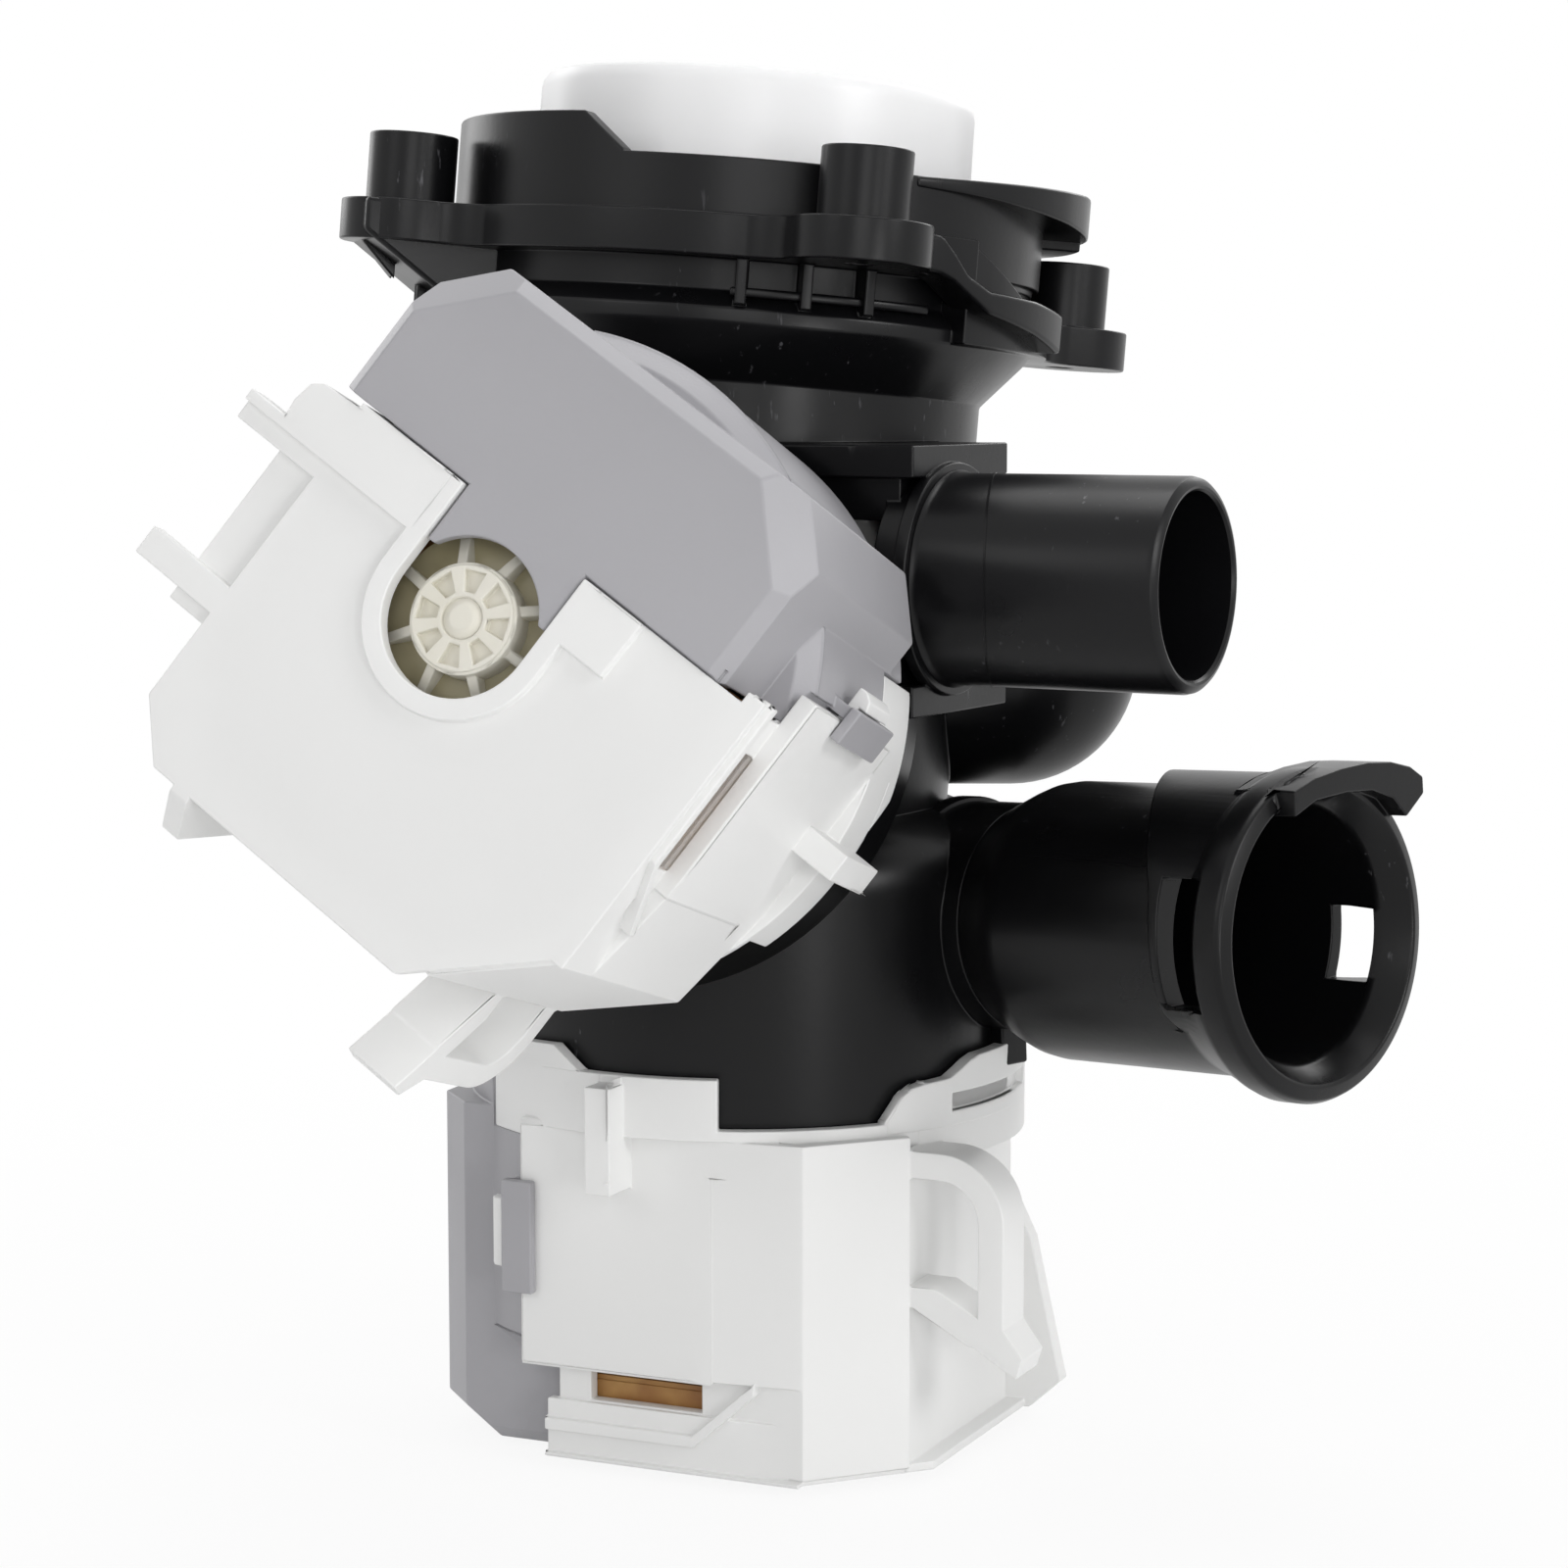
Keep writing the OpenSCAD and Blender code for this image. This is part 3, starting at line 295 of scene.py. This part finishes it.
def metalFinish(name, look):
    paint, tree, shader = newFinish(name)
    streak = addNoise(tree, look["scale"], finishShape["streakDetail"], look["stretch"])
    tint = addRamp(tree, streak.outputs["Fac"], *finishShape["tintSpan"],
                   linear(look["dark"]), linear(look["light"]))
    tree.links.new(tint.outputs["Color"], shader.inputs["Base Color"])
    rough = addSpan(tree, streak.outputs["Fac"], *look["rough"])
    tree.links.new(rough.outputs["Result"], shader.inputs["Roughness"])
    shader.inputs["Metallic"].default_value = look["metal"]
    addBump(tree, shader, streak.outputs["Fac"], look["grain"], finishShape["metalDepth"])
    return paint


finishLooks = {
    "housing_black": {"dark": "#0b0b0c", "light": "#111113", "cloud": 18.0, "scuff": "#7c7c80",
                      "scuffScale": 900.0, "scuffStretch": (1, 1, 0.25), "scuffShare": 0.5,
                      "rubScale": 60.0, "rough": (0.22, 0.38), "shine": 0.22,
                      "grainScale": 900.0, "grain": 0.06},
    "carrier_white": {"dark": "#ececeb", "light": "#f3f3f2", "cloud": 14.0, "rubScale": 80.0,
                      "rough": (0.36, 0.5), "grainScale": 1500.0, "grain": 0.04, "glow": 0.12},
    "cap_grey": {"dark": "#a3a2a6", "light": "#acabaf", "cloud": 16.0, "rubScale": 90.0,
                 "rough": (0.38, 0.5), "grainScale": 2200.0, "grain": 0.12},
    "knob_white": {"dark": "#f6f6f7", "light": "#fafafb", "cloud": 10.0, "rubScale": 50.0,
                   "rough": (0.25, 0.36), "grainScale": 1200.0, "grain": 0.03,
                   "glow": 0.6, "glowReach": 0.012},
    "cage_white": {"dark": "#e6e6e4", "light": "#eeeeec", "cloud": 14.0, "rubScale": 70.0,
                   "rough": (0.36, 0.5), "grainScale": 1400.0, "grain": 0.05},
    "can_beige": {"dark": "#dcd8c8", "light": "#eae7dd", "cloud": 60.0, "rubScale": 120.0,
                  "rough": (0.3, 0.45), "grainScale": 1800.0, "grain": 0.05, "glow": 0.2},
    "can_tan": {"dark": "#a39a78", "light": "#b8b093", "cloud": 60.0, "rubScale": 120.0,
                "rough": (0.3, 0.45), "grainScale": 1800.0, "grain": 0.05, "glow": 0.2},
    "seal_rubber": {"dark": "#121212", "light": "#1a1a1a", "cloud": 30.0, "rubScale": 120.0,
                    "rough": (0.55, 0.75), "grainScale": 1600.0, "grain": 0.15},
    "board_brown": {"dark": "#8a5a2c", "light": "#b48a4e", "cloud": 160.0, "rubScale": 200.0,
                    "rough": (0.4, 0.6), "grainScale": 1800.0, "grain": 0.2},
    "bush_carbon": {"dark": "#2a2a2c", "light": "#343436", "cloud": 80.0, "rubScale": 150.0,
                    "rough": (0.4, 0.55), "grainScale": 1600.0, "grain": 0.1},
    "magnet_black": {"dark": "#2b2b2d", "light": "#3a3a3d", "cloud": 90.0, "rubScale": 140.0,
                     "rough": (0.45, 0.6), "grainScale": 1500.0, "grain": 0.15},
    "impeller_white": {"dark": "#dfdfdc", "light": "#e9e9e6", "cloud": 20.0, "rubScale": 90.0,
                       "rough": (0.36, 0.5), "grainScale": 1400.0, "grain": 0.05},
}
metalLooks = {
    "core_steel": {"dark": "#7c7c80", "light": "#9a9a9e", "scale": 300.0, "stretch": (0.2, 0.2, 9),
                   "rough": (0.3, 0.5), "metal": 0.9, "grain": 0.2},
    "coil_copper": {"dark": "#8a4a1e", "light": "#c07a40", "scale": 500.0, "stretch": (1, 1, 6),
                    "rough": (0.25, 0.4), "metal": 0.85, "grain": 0.3},
    "terminal_tin": {"dark": "#b4b4b4", "light": "#cccccc", "scale": 400.0, "stretch": (4, 1, 1),
                     "rough": (0.25, 0.4), "metal": 0.95, "grain": 0.1},
    "shaft_steel": {"dark": "#b8b8bc", "light": "#d0d0d4", "scale": 600.0, "stretch": (1, 1, 12),
                    "rough": (0.15, 0.25), "metal": 1.0, "grain": 0.05},
}
finishes = {name: plasticFinish(name, look) for name, look in finishLooks.items()}
finishes.update({name: metalFinish(name, look) for name, look in metalLooks.items()})
slotOf = {s["node"]: s["material_slot"] for s in frame["record"]["subparts"]}
for nodeName, node in nodes.items():
    node.data.materials.clear()
    node.data.materials.append(finishes[slotOf[nodeName]])
print("finishes made:", len(finishes))


# modelling helpers, sizes in millimetres

weldDistance = 1e-6
mergeDistance = 2e-6
smoothAngle = 30.0
bandAngle = 40.0
blank = {"radii": (40, 50), "heights": (0, 10)}


def selectOnly(piece):
    bpy.ops.object.select_all(action="DESELECT")
    piece.select_set(True)
    bpy.context.view_layer.objects.active = piece


def applyAll(piece):
    selectOnly(piece)
    for name in [m.name for m in piece.modifiers]:
        bpy.ops.object.modifier_apply(modifier=name)


# joins the facets of each flat face, and splits what is left hollow in outline
def mergeMesh(piece, flat=1.0):
    selectOnly(piece)
    bpy.ops.object.mode_set(mode="EDIT")
    bpy.ops.mesh.select_all(action="SELECT")
    bpy.ops.mesh.remove_doubles(threshold=mergeDistance)
    bpy.ops.mesh.dissolve_limited(angle_limit=math.radians(flat))
    bpy.ops.mesh.vert_connect_concave()
    bpy.ops.object.mode_set(mode="OBJECT")


def pointOutwards(piece):
    selectOnly(piece)
    bpy.ops.object.mode_set(mode="EDIT")
    bpy.ops.mesh.select_all(action="SELECT")
    bpy.ops.mesh.remove_doubles(threshold=weldDistance)
    bpy.ops.mesh.normals_make_consistent(inside=False)
    bpy.ops.object.mode_set(mode="OBJECT")


# a flat outline drawn up to a plate along z
def addPlate(name, outline, low, high):
    bpy.ops.object.select_all(action="DESELECT")
    bpy.ops.mesh.primitive_circle_add(vertices=len(outline), radius=0.01, fill_type="NGON")
    piece = bpy.context.object
    piece.name = name
    for vertex, (x, y) in zip(piece.data.vertices, outline):
        vertex.co = Vector((x, y, low)) / 1000
    bpy.ops.object.mode_set(mode="EDIT")
    bpy.ops.mesh.select_all(action="SELECT")
    bpy.ops.mesh.extrude_region_move(TRANSFORM_OT_translate={"value": (0, 0, (high - low) / 1000)})
    bpy.ops.object.mode_set(mode="OBJECT")
    pointOutwards(piece)
    return piece


def addBlock(name, low, high):
    outline = ((low[0], low[1]), (high[0], low[1]), (high[0], high[1]), (low[0], high[1]))
    return addPlate(name, outline, low[2], high[2])


# a closed outline of (radius, z) swept about z
def addTurned(name, profile, steps=96, start=0.0, sweep=360.0):
    bpy.ops.object.select_all(action="DESELECT")
    whole = sweep >= 360
    bpy.ops.mesh.primitive_circle_add(vertices=len(profile), radius=0.01,
                                      fill_type="NOTHING" if whole else "NGON")
    piece = bpy.context.object
    piece.name = name
    first = math.radians(start)
    for vertex, (radius, z) in zip(piece.data.vertices, profile):
        vertex.co = Vector((radius * math.cos(first), radius * math.sin(first), z)) / 1000
    bpy.ops.object.mode_set(mode="EDIT")
    bpy.ops.mesh.select_all(action="SELECT")
    bpy.ops.mesh.spin(steps=steps, angle=-math.radians(sweep), center=(0, 0, 0), axis=(0, 0, 1))
    bpy.ops.object.mode_set(mode="OBJECT")
    pointOutwards(piece)
    return piece


def between(rows, angle, column):
    for before, after in zip(rows, rows[1:]):
        if angle <= after[0]:
            share = max(0.0, (angle - before[0]) / (after[0] - before[0]))
            return before[column] + share * (after[column] - before[column])
    return rows[-1][column]


# a strip round z whose cross-section changes: rows of angle, inner and outer radius, low and high z
def addBand(name, rows, steps=40):
    inner, outer = blank["radii"]
    low, high = blank["heights"]
    first, last = rows[0][0], rows[-1][0]
    profile = ((inner, low), (outer, low), (outer, high), (inner, high))
    piece = addTurned(name, profile, steps, first, last - first)
    for vertex in piece.data.vertices:
        x, y, z = vertex.co
        angle = math.degrees(math.atan2(y, x))
        while angle < first - 1:
            angle += 360
        radius = between(rows, angle, 2 if math.hypot(x, y) > (inner + outer) / 2000 else 1)
        height = between(rows, angle, 4 if z > (low + high) / 2000 else 3)
        spot = math.radians(angle)
        vertex.co = Vector((radius * math.cos(spot), radius * math.sin(spot), height)) / 1000
    pointOutwards(piece)
    return piece


def combine(piece, tool, how):
    work = piece.modifiers.new("combine", "BOOLEAN")
    work.operation = how
    work.object = tool
    work.solver = "EXACT"
    applyAll(piece)
    bpy.data.objects.remove(tool)
    return piece


def cut(piece, tool):
    return combine(piece, tool, "DIFFERENCE")


def weld(piece, tool):
    return combine(piece, tool, "UNION")


def roundEdges(piece, width, segments=2, angle=smoothAngle):
    bevel = piece.modifiers.new("edgeRound", "BEVEL")
    bevel.width = width / 1000
    bevel.segments = segments
    bevel.limit_method = "ANGLE"
    bevel.angle_limit = math.radians(angle)
    bevel.use_clamp_overlap = False
    weighted = piece.modifiers.new("faceShade", "WEIGHTED_NORMAL")
    weighted.keep_sharp = True
    selectOnly(piece)
    bpy.ops.object.shade_smooth()
    applyAll(piece)


def smoothByAngle(piece, angle=smoothAngle):
    selectOnly(piece)
    bpy.ops.object.shade_smooth_by_angle(angle=math.radians(angle))


# takes the finished piece to its place and leaves its own origin at the world's
def settle(piece, place):
    selectOnly(piece)
    piece.matrix_world = place
    bpy.ops.object.transform_apply(location=True, rotation=True, scale=True)


def copyOf(piece, name):
    selectOnly(piece)
    bpy.ops.object.duplicate(linked=False)
    copy = bpy.context.object
    for key in list(copy.keys()):
        del copy[key]
    copy.name = name
    copy.parent = None
    return copy


# finish, body and the solids that the piece stands for
def wear(piece, slot, body, *stoodFor):
    piece.data.materials.clear()
    piece.data.materials.append(finishes[slot])
    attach(piece, body)
    if stoodFor:
        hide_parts(*stoodFor)


def bodyOf(nodeName):
    return next(b for b, members in frame["record"]["behaviour"]["bodies"].items() if nodeName in members)


def arc(radius, start, end, steps):
    angles = [math.radians(start + (end - start) * i / steps) for i in range(steps + 1)]
    return [(radius * math.cos(a), radius * math.sin(a)) for a in angles]


# mouldings of the solids with rounded edges

softened = {"pump_housing": 0.3, "inlet_spout": 0.3, "filter_cage": 0.3}
outlet = {
    "profile": ((13, -0.3), (15.4, -0.3), (15.4, 0.2), (15.1, 0.6), (15.0, 1.2), (15.0, 35.2), (14.8, 36.0),
                (14.3, 36.5), (13.7, 36.7), (13.3, 36.6), (13.0, 36.2)),
    "seam": ((14.6, -0.18), (15.07, -0.18), (15.07, 0.18), (14.6, 0.18)),
    "seamPlace": 5.7, "seamTilt": -0.38, "seamSpan": (165, 210),
    "steps": 128, "seamSteps": 72,
}


def softenNode(nodeName, width):
    piece = copyOf(nodes[nodeName], nodeName + "_moulding")
    mergeMesh(piece)
    roundEdges(piece, width)
    wear(piece, slotOf[nodeName], bodyOf(nodeName), nodeName)


# outlet pipe and the fine seam that runs aslant round it
def makeOutlet():
    piece = addTurned("outlet_pipe", outlet["profile"], outlet["steps"])
    smoothByAngle(piece)
    settle(piece, outletFrame)
    wear(piece, "housing_black", "pump", "circulation_outlet")
    start, sweep = outlet["seamSpan"]
    seam = addTurned("outlet_seam", outlet["seam"], outlet["seamSteps"], start, sweep)
    for vertex in seam.data.vertices:
        vertex.co.z += outlet["seamPlace"] / 1000 + outlet["seamTilt"] * vertex.co.y
    settle(seam, outletFrame)
    wear(seam, "housing_black", "pump")


for nodeName, width in softened.items():
    softenNode(nodeName, width)
makeOutlet()
print("mouldings rounded:", len(softened), "and the outlet turned")


# filter knob with its fine flutes and the grip bar

knob = {
    "profile": ((0, 0), (38.5, 0), (38.5, 2.1), (38.1, 2.5), (33.6, 2.5), (33.1, 3.0), (33.0, 8.0),
                (32.9, 13.0), (32.8, 19.6), (32.6, 20.6), (32.1, 21.4), (31.3, 21.8), (30.4, 21.9),
                (29.9, 21.5), (29.9, 5.0), (29.4, 4.0), (0, 4.0)),
    "lift": 0.3, "columns": 288, "shell": 33, "fluteDepth": 0.22, "fluteSpan": (2.7, 20.0), "fluteInside": 32,
    "grip": ((-30.2, -4, 3.8), (30.2, 4, 20.3)), "gripEdge": 1.0, "smooth": 25,
}


def makeKnob():
    piece = addTurned("knobShell", knob["profile"], knob["columns"])
    step = 2 * math.pi / knob["columns"]
    low, high = knob["fluteSpan"]
    for vertex in piece.data.vertices:
        x, y, z = vertex.co * 1000
        if low < z < high and math.hypot(x, y) > knob["fluteInside"]:
            if round(math.atan2(y, x) / step) % 2:
                share = 1 - knob["fluteDepth"] / knob["shell"]
                vertex.co.x *= share
                vertex.co.y *= share
    bar = addBlock("gripBar", *knob["grip"])
    roundEdges(bar, knob["gripEdge"], 3)
    weld(piece, bar)
    smoothByAngle(piece, knob["smooth"])
    settle(piece, filterFrame @ shift(0, 0, knob["lift"]))
    piece.name = "fluted_knob"
    wear(piece, "knob_white", "filter", "filter_knob")


makeKnob()
print("knob modelled")


# drain socket: bell with rim, latch windows, hood and visor

bell = {
    "profile": ((14, 0), (17, 0), (17.6, 1.4), (18.4, 3.2), (19.5, 5.8), (20.2, 7.8), (20.5, 10.0),
                (20.5, 41.2), (20.7, 42.4), (22.3, 46.4), (23.0, 47.8), (23.4, 49.0), (23.4, 52.0),
                (22.9, 53.0), (20.9, 53.6), (20.5, 53.2), (18.5, 49.8), (18.0, 48.6),
                (18.0, 9.6), (17.4, 9.0), (14.4, 9.0), (14, 8.6)),
    "windows": (((-9.5, -26, 41.2), (8.5, -14, 48.4)), ((-2, 14, 41.2), (8.5, 26, 48.4))),
    "hood": ((172, 19.6, 22.5, 26.6, 50.2), (180, 19.6, 22.6, 26.6, 50.2), (200, 19.6, 22.6, 30.5, 50.2),
             (225, 19.6, 22.5, 35.5, 50.0), (250, 19.6, 22.2, 39.2, 49.6), (270, 19.6, 21.9, 39.8, 49.4),
             (295, 19.6, 21.6, 39.8, 49.2), (306, 19.6, 20.6, 41.0, 49.0)),
    "visor": ((-20.9, -9.8), (-22.4, -5.0), (-23.3, 1), (-23.7, 7), (-23.4, 12.5), (-22.4, 17),
              (-20.8, 19.9), (-18.4, 20.0), (-15.4, 15.8), (-18.2, 12.8), (-19.7, 8), (-19.9, 2),
              (-19.3, -5.0), (-17.4, -9.8)),
    "visorSpan": (46.0, 56.4),
    "collar": ((16.2, -15.4), (17.5, -15.2), (17.7, -14.6), (17.7, -12.2), (17.5, -11.7), (16.2, -11.5)),
    "tab": ((12.0, -3.0, -13.0), (22.4, 2.6, -4.5)),
    "steps": 128, "hoodSteps": 44, "collarSteps": 96, "edge": 0.3, "tabEdge": 0.4,
}


def makeBell():
    piece = addTurned("bellShell", bell["profile"], bell["steps"])
    weld(piece, addBand("bellHood", bell["hood"], bell["hoodSteps"]))
    weld(piece, addPlate("bellVisor", bell["visor"], *bell["visorSpan"]))
    for low, high in bell["windows"]:
        cut(piece, addBlock("bellWindow", low, high))
    roundEdges(piece, bell["edge"], 2, bandAngle)
    settle(piece, socketFrame)
    piece.name = "socket_bell"
    wear(piece, "housing_black", "pump", "drain_socket")
    collar = addTurned("neckCollar", bell["collar"], bell["collarSteps"])
    smoothByAngle(collar)
    tab = addBlock("neckTab", *bell["tab"])
    roundEdges(tab, bell["tabEdge"])
    for part, name in ((collar, "neck_collar"), (tab, "neck_tab")):
        settle(part, socketFrame)
        part.name = name
        wear(part, "housing_black", "pump")


makeBell()
print("socket bell modelled")


# motors: each piece is modelled once in the motor's own frame and copied to both

carrier = {
    "plateCut": [(-45, 4.6), (-13.3, 4.6), (-13.3, 0.4)] + arc(13.3, 182, 358, 40)
                + [(13.3, 0.4), (13.3, 5.2), (20.2, 5.2), (20.5, 16), (45, 16), (45, -50), (-45, -50)],
    "plateSpan": (50.8, 54),
    "bands": (((-12.5, 4.6), (-12.5, 13.4), (-27.5, 13.4), (-27.5, 12.9), (-34.6, 12.5), (-36.2, 11.4),
               (-36.8, 8.6), (-36.2, 5.6), (-34.6, 4.4), (-27.5, 4.4)),
              ((12.5, 5.0), (20.6, 5.0), (20.6, 13.4), (12.5, 13.4))),
    "bandSpan": (49.0, 52.0),
    "panel": ((36.5, 14.0), (37.5, 14.0), (37.5, 18.4), (39.95, 18.4), (39.95, -9.5), (38.0, -26.2),
              (25.3, -37.6), (24.0, -36.5), (36.5, -24.0)),
    "panelSpan": (1.0, 36.6),
    "corner": ((36.5, -21.0), (37.4, -21.0), (38.0, -26.2), (25.3, -37.6), (24.0, -36.5)),
    "cornerSpan": (35.0, 50.0),
    "lowBand": ((36.5, -24.0), (37.5, -24.0), (38.2, -17.0), (38.2, 15.2), (36.5, 15.2)),
    "lowBandSpan": (42.2, 51.9),
    "overhang": (((38.6, -19, 1.0), (50, 1.0, 6.5)), ((38.6, 3.5, 1.0), (50, 16, 6.5))),
    "ribSpace": ((42.2, 0.5, -9), (50, 4.0, 7.5)),
    "rib": ((39.0, 0.2, -6.8), (46.8, 4.3, 8.9)),
    "trim": ((36.5, 15.21, 43), (41, 20, 53)),
    "slot": ((-104, 41.3, 46, -3.8, -1.2), (-69.5, 41.3, 46, -3.8, -1.2)),
    "ramp": ((-62, 38, 46, -5.95, -14), (-59, 38, 46, -5.5, -14), (-56.4, 38, 46, -4.4, -14),
             (-52.2, 38, 46, -0.7, -14)),
    "cutSteps": 20, "edge": 0.25,
}


def shapeCarrier(piece):
    for low, high in carrier["overhang"] + (carrier["ribSpace"], carrier["trim"]):
        cut(piece, addBlock("carrierTrim", low, high))
    weld(piece, addBlock("carrierRib", *carrier["rib"]))
    weld(piece, addPlate("carrierPanel", carrier["panel"], *carrier["panelSpan"]))
    weld(piece, addPlate("carrierCorner", carrier["corner"], *carrier["cornerSpan"]))
    weld(piece, addPlate("lowBand", carrier["lowBand"], *carrier["lowBandSpan"]))
    for outline in carrier["bands"]:
        weld(piece, addPlate("plateBand", outline, *carrier["bandSpan"]))
    cut(piece, addPlate("plateCut", carrier["plateCut"], *carrier["plateSpan"]))
    cut(piece, addBand("ringSlot", carrier["slot"], carrier["cutSteps"]))
    cut(piece, addBand("ringLow", carrier["ramp"], carrier["cutSteps"]))


cap = {"joint": ((-24, 13.62, 46.0), (32.5, 15.5, 50.4)), "edge": 0.3}


# the joint to the carrier shows as a shallow line
def shapeCap(piece):
    weld(piece, addBlock("capJoint", *cap["joint"]))


can = {
    "pocket": ((3.4, -0.7), (6.2, -1.5), (6.2, 1.5), (3.4, 0.7)),
    "pocketSpan": (49.6, 53), "count": 8,
    "hub": ((2.75, 47.0), (6.9, 47.0), (6.9, 50.8), (2.75, 50.8)),
    "floor": ((7.0, 43.5), (12.6, 43.5), (12.6, 45.6), (7.0, 46.2)),
    "steps": 64, "edge": 0.2,
}


# eight pockets between the spokes of the can's hub
def shapeCan(piece):
    weld(piece, addTurned("hubFill", can["hub"], can["steps"]))
    for i in range(can["count"]):
        a = math.radians((i + 0.5) * 360 / can["count"])
        outline = [(x * math.cos(a) - y * math.sin(a), x * math.sin(a) + y * math.cos(a))
                   for x, y in can["pocket"]]
        cut(piece, addPlate("canPocket", outline, *can["pocketSpan"]))


motorFlat = 0.3


def mouldMotorPiece(kind, shape, edge):
    master = copyOf(nodes["drain_" + kind], kind + "Master")
    pointOutwards(master)
    settle(master, drainFrame.inverted())
    shape(master)
    mergeMesh(master, motorFlat)
    roundEdges(master, edge)
    for motor in motors:
        nodeName = motor + "_" + kind
        piece = copyOf(master, nodeName + "_moulding")
        settle(piece, motorFrames[motor])
        wear(piece, slotOf[nodeName], bodyOf(nodeName), nodeName)
    bpy.data.objects.remove(master)


mouldMotorPiece("motor_carrier", shapeCarrier, carrier["edge"])
mouldMotorPiece("motor_cap", shapeCap, cap["edge"])
mouldMotorPiece("rotor_can", shapeCan, can["edge"])
print("motor mouldings shaped")


# smaller pieces on the motors

def fitToMotors(master, name, slot, finish=None):
    for motor in motors:
        piece = copyOf(master, motor + "_" + name)
        settle(piece, motorFrames[motor])
        wear(piece, slot, "pump")
        piece.data.materials[0] = finishes[finish or slot]
    bpy.data.objects.remove(master)


ringRamp = {
    "rows": ((-96, 40.4, 42.62, 1, -8.6), (-90, 40.4, 42.62, 1, -9.0), (-78, 40.4, 42.62, 1, -8.8),
             (-75, 40.4, 42.62, 1, -8.2), (-69, 40.4, 42.62, 1, -6.2), (-62, 40.4, 42.62, 1, -5.9),
             (-59, 40.4, 42.62, 1, -5.5), (-56.4, 40.4, 42.62, 1, -4.4), (-53, 40.4, 42.62, 1, -0.8)),
    "steps": 43, "edge": 0.25,
}
guardSlope = {
    "rows": ((10.4, 40.4, 42.5, -7.9, -8.0), (17.2, 40.4, 42.5, -7.9, -11.4), (24, 40.4, 42.5, -7.9, -11.2),
             (37.5, 40.4, 42.5, -7.9, -10.6)),
    "steps": 28, "edge": 0.2,
}
boardEdge = {
    "blocks": (((30, -11, 39.4), (35.0, 9.5, 42.6)), ((30, -11, 35.6), (33.6, 9.5, 39.4))),
    "edge": 0.15,
}


def makeRamp():
    piece = addBand("ringRamp", ringRamp["rows"], ringRamp["steps"])
    cut(piece, addBand("ringSlot", carrier["slot"], carrier["cutSteps"]))
    roundEdges(piece, ringRamp["edge"], 2, bandAngle)
    fitToMotors(piece, "ring_ramp", "carrier_white")


def makeGuardSlope():
    piece = addBand("guardSlope", guardSlope["rows"], guardSlope["steps"])
    roundEdges(piece, guardSlope["edge"], 2, bandAngle)
    fitToMotors(piece, "guard_slope", "carrier_white")


def makeCanFloor():
    piece = addTurned("canFloor", can["floor"], can["steps"])
    smoothByAngle(piece)
    fitToMotors(piece, "can_floor", "can_beige", "can_tan")


# what the window in the carrier shows of the board
def makeBoardEdge():
    piece = addBlock("boardEdge", *boardEdge["blocks"][0])
    weld(piece, addBlock("boardStep", *boardEdge["blocks"][1]))
    roundEdges(piece, boardEdge["edge"])
    fitToMotors(piece, "board_edge", "board_brown")


makeRamp()
makeGuardSlope()
makeCanFloor()
makeBoardEdge()
print("ring ramps, guard slopes, can floors and board edges modelled")


# flange details in the filter's frame: the slope to the low lobe, the ear, the rod behind the hooks
# and the web under a lobe

flange = {
    "slope": ((-60, 43.0, 50.0, -5.6, -0.2), (-56, 43.0, 50.0, -5.8, -0.4), (-53.2, 43.0, 50.0, -6.6, -2.5),
              (-50, 43.0, 50.0, -8.2, -5.4), (-44.5, 43.0, 50.0, -10.6, -7.3), (-31, 43.0, 50.0, -12.4, -7.6),
              (-18, 43.0, 50.0, -14.6, -8.8)),
    "ear": ((-58, 43.0, 44.7, 6.4, 7.9), (-50, 43.0, 45.3, 6.3, 8.2), (-40, 43.0, 46.6, 6.0, 8.6),
            (-30, 43.0, 48.3, 5.4, 9.0), (-20, 43.0, 50.0, 4.6, 9.3), (-10, 43.0, 51.0, 3.8, 9.6),
            (0, 43.0, 51.4, 3.4, 9.8), (20, 43.0, 51.2, 3.3, 9.8), (32, 43.0, 50.0, 3.4, 9.4),
            (42, 43.0, 46.5, 3.8, 8.8)),
    "rod": ((-92, 41.0, 43.9, -11.3, -10.0), (-52, 41.0, 43.9, -11.3, -10.0)),
    "web": ((34, 0), (60.5, 0), (60.5, -5.0), (48, -13.5), (34, -15.5)),
    "webHalf": 8.0, "webTurn": 198,
    "steps": 48, "slopeEdge": 0.7, "earEdge": 0.5, "rodEdge": 0.4, "webEdge": 0.8,
}


def makeFlangeDetails():
    for name, part in (("flange_slope", "slope"), ("collar_ear", "ear"), ("hook_rod", "rod")):
        piece = addBand(name, flange[part], flange["steps"])
        roundEdges(piece, flange[part + "Edge"], 3, bandAngle)
        settle(piece, filterFrame)
        wear(piece, "housing_black", "pump")
    web = addPlate("lobe_web", flange["web"], -flange["webHalf"], flange["webHalf"])
    roundEdges(web, flange["webEdge"], 3)
    settle(web, filterFrame @ turn("Z", flange["webTurn"]) @ turn("X", 90))
    wear(web, "housing_black", "pump")


makeFlangeDetails()
print("flange details modelled")
